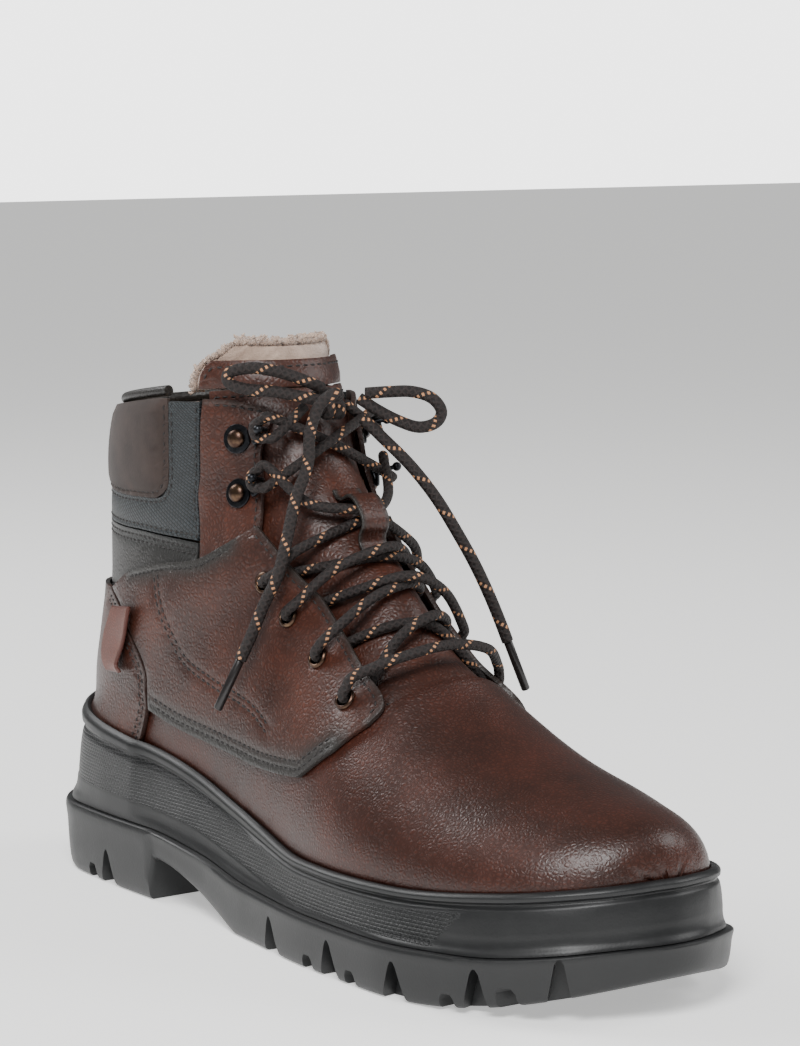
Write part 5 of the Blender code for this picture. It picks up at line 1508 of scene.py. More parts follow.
    def slab(self, name: str, inset: float, drop: float, thickness: float, finish: Finish) -> Object:
        """Layer inside the cup that follows the floor's slope, crowned and rounded at its edge."""
        rows = []
        for t, more in ((0.0, 0.8), (0.12, 0.2), (0.3, 0.0), (0.7, 0.0), (0.88, 0.3), (1.0, 1.2)):
            loop = self.feather(-(inset + more))
            low = self.last.rim(loop[:, 1]) - drop
            rows.append(np.column_stack([loop, low + thickness * t]))
        return self.stacked(name, rows, finish)

    def build(self) -> None:
        """Makes and places the sole's pieces."""
        place(self.outsole(), Body.BOOT, "sole_rubber", "outsole")
        place(self.midsole(), Body.BOOT, "sole_rubber", "midsole")

    def footbed(self) -> None:
        """The loose pile-topped footbed."""
        bed = self.slab("footbed_base", 18.3, self.cup_depth - 4.9, 3.2, FOAM)
        place(bed, Body.FOOTBED, "foam_padding")
        loop = self.feather(-19.0)
        half = len(loop) // 2
        y = np.linspace(loop[:, 1].min() + 1.0, loop[:, 1].max() - 1.0, 110)
        left = np.interp(y, loop[:half, 1], loop[:half, 0])
        right = np.interp(y, loop[half:][::-1, 1], loop[half:][::-1, 0])
        spots = np.array([(x, yy) for yy, a, b in zip(y, left, right) if b - a > 4 for x in np.arange(a + 0.8, b
            - 0.6, 2.3)])
        jitter = (spread(spots.shape, 7) - 0.5) * 1.6
        spots = spots + jitter
        z = self.last.rim(spots[:, 1]) - self.cup_depth + 4.9 + 2.6
        roots = np.column_stack([spots, z])
        locks = tufts("footbed_pile", roots, np.tile([0.0, 0.0, 1.0], (len(roots), 1)), 11, 1.7, 0.8)
        place(locks, Body.FOOTBED, "fleece_pile", "footbed")


def place(piece: Optional[Object], body: Any, slot: str, *nodes: str) -> None:
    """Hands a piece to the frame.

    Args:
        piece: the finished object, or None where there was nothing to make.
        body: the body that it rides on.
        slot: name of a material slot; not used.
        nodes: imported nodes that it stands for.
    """
    if piece is None:
        return
    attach(piece, body.value if isinstance(body, Body) else body)
    if nodes:
        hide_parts(*nodes)
    LOG.info("%s: %d points", piece.name, len(piece.data.vertices))


# ---------------------------------------------------------------- upper
@dataclass
class Upper:
    """Leather shell: vamp, quarters, shaft fronts, heel covers, rear band and backstay."""

    last: Last
    leather: float = 1.6
    lap: float = 0.7
    quarter_front: tuple = ((-27, 27, 134), (-24, 16, 125), (-23, 8, 119), (-23, -4, 113), (-24, -19, 102), (-26, -33,
        92), (-27, -42, 87), (-29, -46, 82.5), (-33, -45, 77))
    quarter_low: tuple = ((-42, -37, 69), (-44.5, -25, 60.5), (-43.5, -19, 58), (-41, 3, 57), (-40, 18, 58), (-39, 37,
        60), (-39, 59, 62.5), (-39, 76.5, 66))
    quarter_back: tuple = ((-39, 77, 72), (-39, 78, 79), (-39, 84, 87), (-36, 98, 98), (-31, 112, 104))
    quarter_top: tuple = ((-34, 95, 112.5), (-35, 74, 117), (-35, 52, 120.5), (-31, 38, 127))
    cover_front: tuple = ((-37.5, 86, 50), (-38, 81, 58), (-38.6, 78, 66), (-38.6, 78.5, 72), (-38.6, 79.6, 79),
        (-38.6, 85.6, 86.6), (-35.6, 99.4, 97.4), (-30, 114, 103.6))
    shaft_front: tuple = ((-28, 27, 126), (-27, 27.5, 134), (-24, 31, 148), (-22, 34, 159), (-17, 33, 171))
    shaft_top: tuple = ((-19, 36, 173.5), (-26, 45, 175.3), (-32, 55, 175.3))
    shaft_back: tuple = ((-32, 56, 166), (-32, 56, 150), (-33, 57, 141), (-34, 54, 127), (-35, 52, 119))
    shaft_low: tuple = ((-35, 50, 113), (-31, 34, 118))
    vee: tuple = ((-34, 76, 112), (-38, 68, 99), (-41, 57, 86), (-43, 38, 80), (-44, 18, 76), (-45, 4, 70))
    vamp_top: tuple = ((0.606, 0.80), (0.600, 0.745), (0.56, 0.72), (0.53, 0.70), (0.508, 0.675), (0.480, 0.54),
        (0.468, 0.46), (0.460, 0.38), (0.452, 0.30), (0.446, 0.15), (0.444, 0.0))
    band_low: tuple = ((-35, 51.2, 113.5), (-35, 74, 110.5), (-33.5, 97, 106), (-24, 125, 100.5), (-9, 140, 98.5))
    band_high: tuple = ((-34, 54.7, 126.3), (-35, 74, 126.5), (-34, 95, 126.8), (-25, 122, 127), (-9, 138, 127))
    eyelet_places: tuple = ((0.485, 0.383), (0.540, 0.350), (0.587, 0.308), (0.626, 0.258))
    hook_places: tuple = ((0.773, 0.225), (0.886, 0.208))
    eyelet_hole: float = 2.5
    rivet_hole: float = 1.9
    shell: list = field(default_factory=list)

    def around_back(self, points: Any) -> Array:
        """Places (u, w) of a line given on the outer side, carried round the heel to the inner side."""
        outer, inner = self.last.find(points, Side.OUTER), self.last.find(points, Side.INNER)
        outer[:, 1] += 1
        inner[:, 1] -= 1
        return np.concatenate([outer, inner[::-1]])

    def one_side(self, points: Any, side: Side) -> Array:
        """Places (u, w) of points on one side."""
        found = self.last.find(points, side)
        found[:, 1] -= side.value
        return found

    def quarter(self, side: Side) -> Panel:
        """Side panel with the eyelets."""
        line = self.last.line
        edges = [Edge(line(self.quarter_front, side), (2.6,), 0.75, 3.2), Edge(line(self.quarter_low, side),
            (2.4, 5.0), 0.95, 9.5), Edge(line(self.quarter_back, side), (), 0.55, 4.0),
            Edge(line(self.quarter_top, side), (2.4,), 0.95, 8.0)]
        holes = [self.last.circle((u, side.value * v), self.eyelet_hole + 0.72) for u, v in self.eyelet_places]
        vee = line(self.vee, side)
        return Panel(self.last, f"quarter_{side.word}_leather", edges, self.lap, self.leather, LEATHER_BODY,
            holes=holes, extra_rows=[vee, self.last.beside(vee, 2.4)])

    def shaft(self, side: Side) -> Panel:
        """Front of the shaft, with the hooks."""
        line = self.last.line
        edges = [Edge(line(self.shaft_front, side), (2.3,), 0.7, 3.0), Edge(line(self.shaft_top, side), (2.0,), 0.75,
            3.4), Edge(line(self.shaft_back, side), (), 0.35, 2.5), Edge(line(self.shaft_low, side), (), 0.7, 6.0)]
        holes = [self.last.circle((u, side.value * v), self.rivet_hole, 20) for u, v in self.hook_places]
        return Panel(self.last, f"shaft_panel_{side.word}_leather", edges, -self.leather, self.leather, LEATHER_BODY,
            holes=holes)

    def heel_cover(self, side: Side) -> Panel:
        """Cover over the heel stiffener, meeting its pair at the back."""
        back = np.stack([np.linspace(0.795, 0.668, 24), np.full(24, side.value * 0.992)], -1)
        rim = np.stack([np.linspace(0.655, 0.5985, 24), np.full(24, side.value * 1.0)], -1)
        edges = [Edge(back, (2.6,), 0.35, 4.0), Edge(rim, (), 0.5, 9.0), Edge(self.last.line(self.cover_front, side),
            (2.2, 4.4), 0.55, 5.0), Edge(self.last.line(((-24, 124, 103.6), (-13, 136, 103), (-2, 143, 101)), side),
            (), 0.8, 7.0)]
        return Panel(self.last, f"heel_cover_{side.word}_leather", edges, self.lap, self.leather, LEATHER_BODY)

    def vamp(self) -> Panel:
        """Front of the boot in one piece, up to the tongue."""
        low = np.concatenate([[0.0032, 0.01, 0.02, 0.032, 0.045, 0.06], np.linspace(0.08, 0.58, 60), [0.61]])
        inner = np.stack([low, np.full(len(low), 1.0)], -1)
        outer = np.stack([low, np.full(len(low), -1.0)], -1)[::-1]
        toe = np.stack([np.full(9, 0.0032), np.linspace(-1, 1, 9)], -1)
        half = np.array(self.vamp_top)
        top = np.concatenate([half, (half * [1, -1])[:-1][::-1]])
        edges = [Edge(toe, (), 0.6, 7.0), Edge(inner, (), 0.5, 8.0), Edge(np.array([(0.612, 0.90), (0.606, 0.80)])),
            Edge(through(top, per_span=6), (), 0.3, 4.0), Edge(np.array([(0.606, -0.80), (0.612, -0.90)])),
            Edge(outer, (), 0.5, 8.0)]
        return Panel(self.last, "vamp_leather", edges, -self.leather, self.leather, LEATHER_SMOOTH)

    def rear_band(self) -> Panel:
        """Dark band round the back between the heel covers and the collar."""
        low = self.last.ring(self.around_back(self.band_low))
        high = self.last.ring(self.around_back(self.band_high))
        edges = [Edge(low, (2.0,), 0.8, 5.0), Edge(high[::-1], (2.0, 4.0), 0.95, 9.0)]
        return Panel(self.last, "rear_band_leather", edges, -self.leather, self.leather, LEATHER_DARK, around=True)

    def backstay(self) -> Panel:
        """Strip that covers the back seam of the heel covers."""
        us, w = np.linspace(0.684, 0.790, 30), 0.055
        up = np.stack([us, np.full(30, -w)], -1)
        down = np.stack([us[::-1], np.full(30, w)], -1)
        edges = [Edge(up, (1.6,), 0.7, 3.0), Edge(down, (1.6,), 0.7, 3.0)]
        return Panel(self.last, "backstay_leather", edges, self.lap + self.leather + 0.5, 1.2, LEATHER_BODY,
            around=True, spacing=1.6)

    def tuck(self, obj: Object) -> None:
        """Draws in the leather's foot, which is lasted under inside the sole's rim."""
        for vert in obj.data.vertices:
            x, y, z = (c / MM for c in vert.co)
            depth = float(self.last.rim(y)) - 1.0 - z
            if depth > 0:
                away = unit(np.array([x - self.last.centre_shift, (y - np.clip(y, -100, 112)) * 1.3]))
                vert.co.x -= away[0] * min(depth, 7.0) * 0.75 * MM
                vert.co.y -= away[1] * min(depth, 7.0) * 0.75 * MM

    def build(self) -> None:
        """Makes and places the shell."""
        made = [(self.vamp(), "vamp"), (self.rear_band(), "rear_band"), (self.backstay(), "backstay")]
        for side in Side:
            made += [(self.quarter(side), f"quarter_{side.word}"), (self.shaft(side), f"shaft_panel_{side.word}"),
                (self.heel_cover(side), f"heel_cover_{side.word}")]
        for panel, node in made:
            slot = "burnished_leather" if panel.finish is LEATHER_DARK else "milled_leather"
            made_panel = panel.build()
            self.tuck(made_panel)
            self.shell.append(made_panel)
            place(made_panel, Body.BOOT, slot, node)
            place(panel.sew(f"{node}_stitches"), Body.BOOT, slot)


@dataclass
class Collar:
    """Ankle band of coated cloth, padded nubuck collar and its binding."""

    upper: Upper
    overlay_low: tuple = ((-34.2, 56.5, 127), (-34.4, 62, 126.9), (-35, 74, 126.9), (-34, 95, 127.1), (-25, 122,
        127.3), (-9, 138, 127.3))
    overlay_up: tuple = ((-34.1, 54.9, 127.4), (-33.7, 55.9, 133), (-33, 57.3, 141), (-32, 56.3, 150), (-32, 56.3,
        166), (-32.3, 56, 174.3))
    overlay_back: tuple = ((-36, 70.5, 173.6), (-35.5, 71, 158), (-35, 71.5, 147), (-35, 74, 142), (-34.5, 79, 139.6),
        (-34, 95, 138.8), (-25, 121, 138.8), (-9, 137, 138.8))
    collar_low: tuple = ((-36, 71, 172.8), (-35.4, 71.4, 158), (-35, 72, 148), (-35, 74.5, 142.5), (-34.5, 79.6, 140),
        (-34, 95, 139.1), (-25, 121, 139.1), (-9, 137, 139.1))
    collar_top: float = 0.984
    binding_radius: float = 1.9

    def overlay(self) -> Panel:
        """Woven band that rises in front of the collar on both sides."""
        up, last = self.upper, self.upper.last
        low = last.ring(np.concatenate([up.one_side(self.overlay_up[::-1], Side.OUTER),
            up.around_back(self.overlay_low), up.one_side(self.overlay_up, Side.INNER)]))
        high = last.ring(np.concatenate([up.one_side(self.overlay_back, Side.OUTER), up.one_side(self.overlay_back,
            Side.INNER)[::-1]]))
        edges = [Edge(low, (1.8,)), Edge(high[::-1], (1.6,))]
        return Panel(last, "collar_overlay_cloth", edges, -up.leather, up.leather, WEAVE, around=True, roll=0.5)

    def panel(self) -> Panel:
        """Padded nubuck round the top."""
        up, last = self.upper, self.upper.last
        low = last.ring(up.around_back(self.collar_low))
        top = np.stack([np.full(60, self.collar_top), np.linspace(low[-1][1], low[0][1], 60)], -1)
        seam = np.stack([np.linspace(0.915, self.collar_top - 0.004, 20), np.full(20, 0.0)], -1)
        edges = [Edge(low, (1.6,)), Edge(top)]
        return Panel(last, "collar_nubuck", edges, -up.leather, up.leather, NUBUCK, around=True, crown=1.9,
            crown_reach=15.0, roll=0.5, sunk=0.8, extra_rows=[seam])

    def binding(self) -> Object:
        """Soft folded strip over the top edge."""
        last = self.upper.last
        ws = np.linspace(-0.56, 0.56, 220)
        route = last.at(np.stack([np.full(220, 0.988), ws], -1), -3.6, True) + np.array([0, 0, 2.0])
        return tube("top_binding_leather", route, self.binding_radius, LEATHER_DARK, 16)

    def padding(self) -> Object:
        """Foam behind the collar."""
        return Pillow(self.upper.last, "collar_padding_foam", (0.80, 0.965), (-0.60, 0.60), -4.3, 2.3, FOAM, True,
            3.5).build()

    def build(self) -> None:
        """Makes and places the collar."""
        overlay, panel = self.overlay(), self.panel()
        place(overlay.build(), Body.BOOT, "embossed_synthetic", "collar_overlay")
        place(overlay.sew("collar_overlay_stitches"), Body.BOOT, "embossed_synthetic")
        padded = panel.build()
        place(padded, Body.BOOT, "nubuck", "collar_panel")
        place(panel.sew("collar_stitches"), Body.BOOT, "nubuck")
        place(self.binding(), Body.BOOT, "burnished_leather", "top_binding")
        foam = self.padding()
        place(foam, Body.BOOT, "foam_padding", "collar_padding")


@dataclass
class Linings:
    """Wool-pile linings inside the shell, and the stiffening between them and the leather."""

    last: Last
    pile: float = 3.2
    middle: float = -7.9

    def build(self) -> None:
        """Makes and places the linings and dresses the hidden boards."""
        thin = dict(thickness=self.pile, finish=PILE, lumps=0.5)
        made = [(Pillow(self.last, "vamp_lining_pile", (0.036, 0.425), (-0.96, 0.96), -7.0, spacing=4.0, **thin),
            "vamp_lining")]
        for side, span in ((Side.OUTER, (-0.93, -0.36)), (Side.INNER, (0.36, 0.90))):
            made.append((Pillow(self.last, f"quarter_lining_{side.word}_pile", (0.475, 0.652), span, self.middle,
                spacing=3.4, **thin), f"quarter_lining_{side.word}"))
        made.append((Pillow(self.last, "shaft_lining_pile", (0.668, 0.972), (-0.64, 0.64), self.middle, around=True,
            spacing=2.3, lump_size=3.4, **thin), "shaft_lining"))
        for pillow, node in made:
            place(pillow.build(), Body.BOOT, "fleece_pile", node)
        place(self.locks(), Body.BOOT, "fleece_pile")
        boards = (("heel_stiffener", BOARD), ("toe_puff", BOARD), ("insole_board", BOARD), ("shank", SHANK_STEEL))
        for node, finish in boards:
            dress(node, finish)

    def locks(self) -> Object:
        """Curls standing off the shaft's lining, facing the foot."""
        flat = np.array([(u, w) for u in np.arange(0.80, 0.972, 0.0125) for w in np.arange(-0.63, 0.63, 0.0125)])
        flat = flat + (spread(flat.shape, 3) - 0.5) * [0.010, 0.010]
        roots = self.last.at(flat, self.middle - self.pile / 2 + 0.3, True)
        return tufts("shaft_lining_locks", roots, -self.last.normal(flat, True), 4, 2.3, 0.7)


def dress(node: str, finish: Finish) -> None:
    """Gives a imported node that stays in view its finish."""
    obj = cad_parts[node]
    for slot in obj.material_slots:
        slot.material = finish.material()
    if not obj.material_slots:
        obj.data.materials.append(finish.material())


# ---------------------------------------------------------------- tongue
@dataclass
class Tongue:
    """Padded tongue, its folding top and the lace keeper."""

    last: Last
    keeper_place: float = 0.668
    width_at: tuple = (0.43, 0.48, 0.60, 0.80, 1.0, 1.09, 1.13)
    half_widths: tuple = (0.27, 0.33, 0.27, 0.29, 0.30, 0.27, 0.20)
    flap_at: tuple = (0.998, 1.03, 1.065, 1.095, 1.13)
    flap_halves: tuple = (0.365, 0.355, 0.325, 0.26, 0.20)
    leather: float = 1.6

    def half(self, u: float, spare: float = 0.0) -> float:
        """Half width at one place: wider on the folding top than between the facings."""
        if u > 0.994:
            return float(smooth(self.flap_at, self.flap_halves, u)) - spare
        return float(smooth(self.width_at, self.half_widths, u)) - spare

    def lift(self, u: Any) -> Array:
        """Height of the leather's inner face."""
        return smooth((0.43, 0.50, 1.15), (-3.6, -6.1, -6.1), u)

    def panel(self, name: str, start: float, stop: float, rows: tuple, crown: float) -> Panel:
        """A leather layer between two places."""
        us = np.linspace(start, stop, 60)
        halves = np.array([self.half(u, 0.03 if start > 0.99 else 0.0) for u in us])
        right = np.stack([us, halves], -1)
        left = np.stack([us[::-1], -halves[::-1]], -1)
        top = np.stack([np.full(15, stop), np.linspace(halves[-1], -halves[-1], 15)], -1)
        low = np.stack([np.full(15, start), np.linspace(-halves[0], halves[0], 15)], -1)
        edges = [Edge(low, (), 0.4, 4.0), Edge(right, rows, 0.4, 3.0), Edge(top, rows, 0.5, 4.0), Edge(left, rows,
            0.4, 3.0)]
        return Panel(self.last, name, edges, lambda flat: self.lift(flat[:, 0]), self.leather, LEATHER_BODY,
            crown=crown, crown_reach=9.0)

    def layer(self, name: str, start: float, stop: float, depth: float, thickness: float, finish: Finish,
            **more: Any) -> Object:
        """A soft layer behind the leather; depth is that of its inner face."""
        return Pillow(self.last, name, (start, stop), self.half, lambda u: float(self.lift(u)) - depth + thickness
            / 2, thickness, finish, **more).build()

    def keeper(self) -> Object:
        """Leather strap over the crossing on the tongue."""
        matrix = self.last.frame((self.keeper_place, -0.0001))
        bottom = -6.1 + self.leather + 0.3 + 1.45
        centre = ((-9.0, bottom + 0.6), (-6.6, bottom + 0.9), (-5.2, bottom + 3.0), (-4.6, 3.0), (-3.0, 4.9), (0.0,
            5.4), (3.0, 4.9), (4.6, 3.0), (5.2, bottom + 3.0), (6.6, bottom + 0.9), (9.0, bottom + 0.6))
        line = through([(0.0, t * 1.45, h) for t, h in centre], per_span=5)
        xs = np.linspace(-5.5, 5.5, 9)
        verts = moved([(x, y, z) for _, y, z in line for x in xs], matrix)
        strap = solid("lace_keeper_leather", verts, quads(len(line), len(xs)), LEATHER_BODY)
        wax = np.tile(np.exp(-((5.5 - np.abs(xs)) / 1.8) ** 2) * 0.8, len(line))
        write_value(strap, "burnish", wax)
        return thicken(strap, 1.1, 0.0, 0.35, 60)

    def build(self) -> None:
        """Makes and places the tongue."""
        for body, names, start, stop in ((Body.BOOT, ("tongue", "tongue_leather"), 0.432, 0.99), (Body.TONGUE_FLAP,
                ("tongue_top", "tongue_top_leather"), 0.998, 1.072)):
            panel = self.panel(names[1], start, stop, (2.2,), 0.5)
            made = panel.build()
            place(made, body, "milled_leather", names[0])
            place(panel.sew(names[0] + "_stitches"), body, "milled_leather")
        foam = self.layer("tongue_padding_foam", 0.50, 0.99, 3.5, 2.4, FOAM, spacing=3.5)
        place(foam, Body.BOOT, "foam_padding", "tongue_padding")
        place(self.layer("tongue_lining_pile", 0.466, 0.99, 7.9, 3.2, PILE, lumps=0.5, spacing=3.0), Body.BOOT,
            "fleece_pile", "tongue_lining")
        place(self.layer("tongue_top_lining_pile", 0.998, 1.13, 4.8, 3.6, PILE, lumps=0.8, lump_size=3.2),
            Body.TONGUE_FLAP, "fleece_pile", "tongue_top_lining")
        place(self.curls(), Body.TONGUE_FLAP, "fleece_pile")
        place(self.keeper(), Body.BOOT, "milled_leather", "lace_keeper")

    def curls(self) -> Object:
        """Locks along the rim of the tongue's top and over its back."""
        flat = np.array([(u, v) for u in np.arange(1.005, 1.13, 0.011) for v in np.arange(-self.half(u) + 0.01,
            self.half(u) - 0.01, 0.02)])
        flat = flat + (spread(flat.shape, 21) - 0.5) * [0.008, 0.016]
        roots = self.last.at(flat, self.lift(flat[:, 0]) - 4.4)
        out = -self.last.normal(flat)
        rim, rim_out = [], []
        for u in np.arange(1.0, 1.13, 0.0045):
            for sign in (-1, 1):
                for k in range(4):
                    p = self.last.at([(u, sign * (self.half(u) - 0.004))], float(self.lift(u)) - 1.0 - 1.0 * k)[0]
                    rim.append(p)
                    n = self.last.normal([(u, sign * self.half(u))])[0]
                    q = self.last.at([(u, sign * (self.half(u) + 0.02))])[0] - self.last.at([(u, sign
                        * self.half(u))])[0]
                    rim_out.append(unit(unit(q) - n * (0.3 * k)))
        for v in np.arange(-self.half(1.13), self.half(1.13), 0.0075):
            for k in range(4):
                rim.append(self.last.at([(1.124, v)], float(self.lift(1.13)) - 1.0 - 1.0 * k)[0])
                up = self.last.at([(1.13, v)])[0] - self.last.at([(1.11, v)])[0]
                rim_out.append(unit(unit(up) - self.last.normal([(1.13, v)])[0] * (0.25 * k)))
        roots = np.concatenate([roots, rim])
        out = np.concatenate([out, rim_out])
        return tufts("tongue_top_locks", roots, unit(out), 22, 4.2, 0.9)


# ---------------------------------------------------------------- hardware
@dataclass
class Hardware:
    """Eyelets, and lace hooks each of a plate, a bent wire and a rivet."""

    upper: Upper
    plate_radius: float = 5.0
    chord: float = 4.6            # plate's straight front edge, ahead of the rivet
    pivot: float = 6.2            # where the wire passes in front of the plate
    tip: float = 12.0             # the hook's post, ahead of the rivet
    wire: float = 0.8
    plate_lift: float = 0.35

    def eyelet(self, name: str, spot: tuple) -> Object:
        """Rolled brass eyelet with its barrel."""
        top = self.upper.lap + self.upper.leather + 0.45
        low = self.upper.lap + 0.1
        r, f = self.upper.eyelet_hole, 3.8
        profile = [(r + 0.02, top + 0.3), (r + 0.1, top + 0.52), (r + 0.3, top + 0.68), (r + 0.6, top + 0.75), (f
            - 0.45, top + 0.62), (f - 0.12, top + 0.34), (f, top + 0.05), (f - 0.08, top), (r + 0.3, top), (r + 0.3,
            low), (r, low), (r, top + 0.1)]
        return turned(name, profile, self.upper.last.frame(spot), BRONZE, 48)

    def plate(self, name: str, matrix: Matrix) -> Object:
        """Rounded plate cut straight across its front, with raised edge."""
        corner = math.acos(self.chord / self.plate_radius)
        arc = np.linspace(corner, 2 * math.pi - corner, 49)
        front = np.linspace(-1, 1, 9)[1:-1] * self.plate_radius * math.sin(corner)
        outline = np.concatenate([np.stack([np.cos(arc), np.sin(arc)], -1) * self.plate_radius,
            np.stack([np.full(7, self.chord), front], -1)])
        n = len(outline)
        a = np.arctan2(outline[:, 1], outline[:, 0])
        hole = np.stack([np.cos(a), np.sin(a)], -1) * 1.9
        low, high = self.plate_lift, self.plate_lift + 0.9
        rows = [(outline * 0.97, low), (outline, low + 0.15), (outline, high - 0.25), (outline * 0.96, high - 0.04),
            (outline * 0.9, high), (hole, high), (hole, low)]
        verts = moved(np.concatenate([np.column_stack([p, np.full(n, z)]) for p, z in rows]), matrix)
        faces = [tuple(q % len(verts) for q in face) for face in quads(len(rows) + 1, n, True)]
        obj = solid(name, verts, faces, GUNMETAL, 30)
        facing_out(obj)
        return obj

    def hook(self, name: str, matrix: Matrix) -> Object:
        """Wire bent to a triangle that pivots on the plate, with a post and ball at its tip."""
        lift, half, tip, pivot = self.plate_lift + self.wire + 0.1, 3.3, self.tip, self.pivot
        loop = [(tip, 0.0, 8.6), (tip, 0.0, 5.0), (tip, 0.0, 2.6), (tip - 0.7, 0.35, lift + 0.15), (tip - 2.2, 1.1,
            lift), (pivot + 1.0, half - 0.3, lift), (pivot, half - 0.6, lift), (pivot, 0.0, lift), (pivot, -half
            + 0.6, lift), (pivot + 1.0, -half + 0.3, lift), (tip - 2.6, -1.9, lift)]
        wire = tube(name, moved(through(loop, per_span=5), matrix), self.wire, GUNMETAL, 12)
        profile = [(0.0, 9.8)] + [(1.6 * math.sin(a), 8.2 + 1.6 * math.cos(a)) for a in np.linspace(0.25, 2.9, 12)]
        ball = turned(name + "_ball", profile + [(0.0, 6.6)], matrix @ Matrix.Translation((tip * MM, 0, 0)), GUNMETAL,
            20)
        return join(name, [wire, ball])

    def rivet(self, name: str, matrix: Matrix) -> Object:
        """Domed rivet through the plate and the leather."""
        low, back = self.plate_lift + 1.2, -self.upper.leather
        dome = [(3.2 * math.sin(a), low + 1.9 * math.cos(a)) for a in np.linspace(0.12, 1.5, 12)]
        profile = [(0.0, low + 1.9)] + dome + [(3.15, low), (1.5, low), (1.5, back - 0.35), (2.6, back - 0.35), (2.4,
            back - 0.9), (0.0, back - 0.9)]
        return turned(name, profile, matrix, BRONZE, 32)

    def build(self) -> None:
        """Makes and places all the metal."""
        for side in Side:
            for k, (u, v) in enumerate(self.upper.eyelet_places):
                tag = f"{side.word}_{k + 1}"
                place(self.eyelet(f"eyelet_ring_{tag}", (u, side.value * v)), Body.BOOT, "bronzed_metal",
                    f"eyelet_{tag}")
            for level, (u, v) in zip(("lower", "upper"), self.upper.hook_places):
                matrix, tag = self.upper.last.frame((u, side.value * v)), f"{side.word}_{level}"
                place(self.plate(f"lace_hook_plate_{tag}", matrix), Body.BOOT, "gunmetal", f"hook_plate_{tag}")
                place(self.rivet(f"lace_hook_rivet_{tag}", matrix), Body.BOOT, "bronzed_metal", f"hook_rivet_{tag}")
                place(self.hook(f"lace_hook_wire_{tag}", matrix), f"hook_{tag}", "gunmetal", f"hook_frame_{tag}")


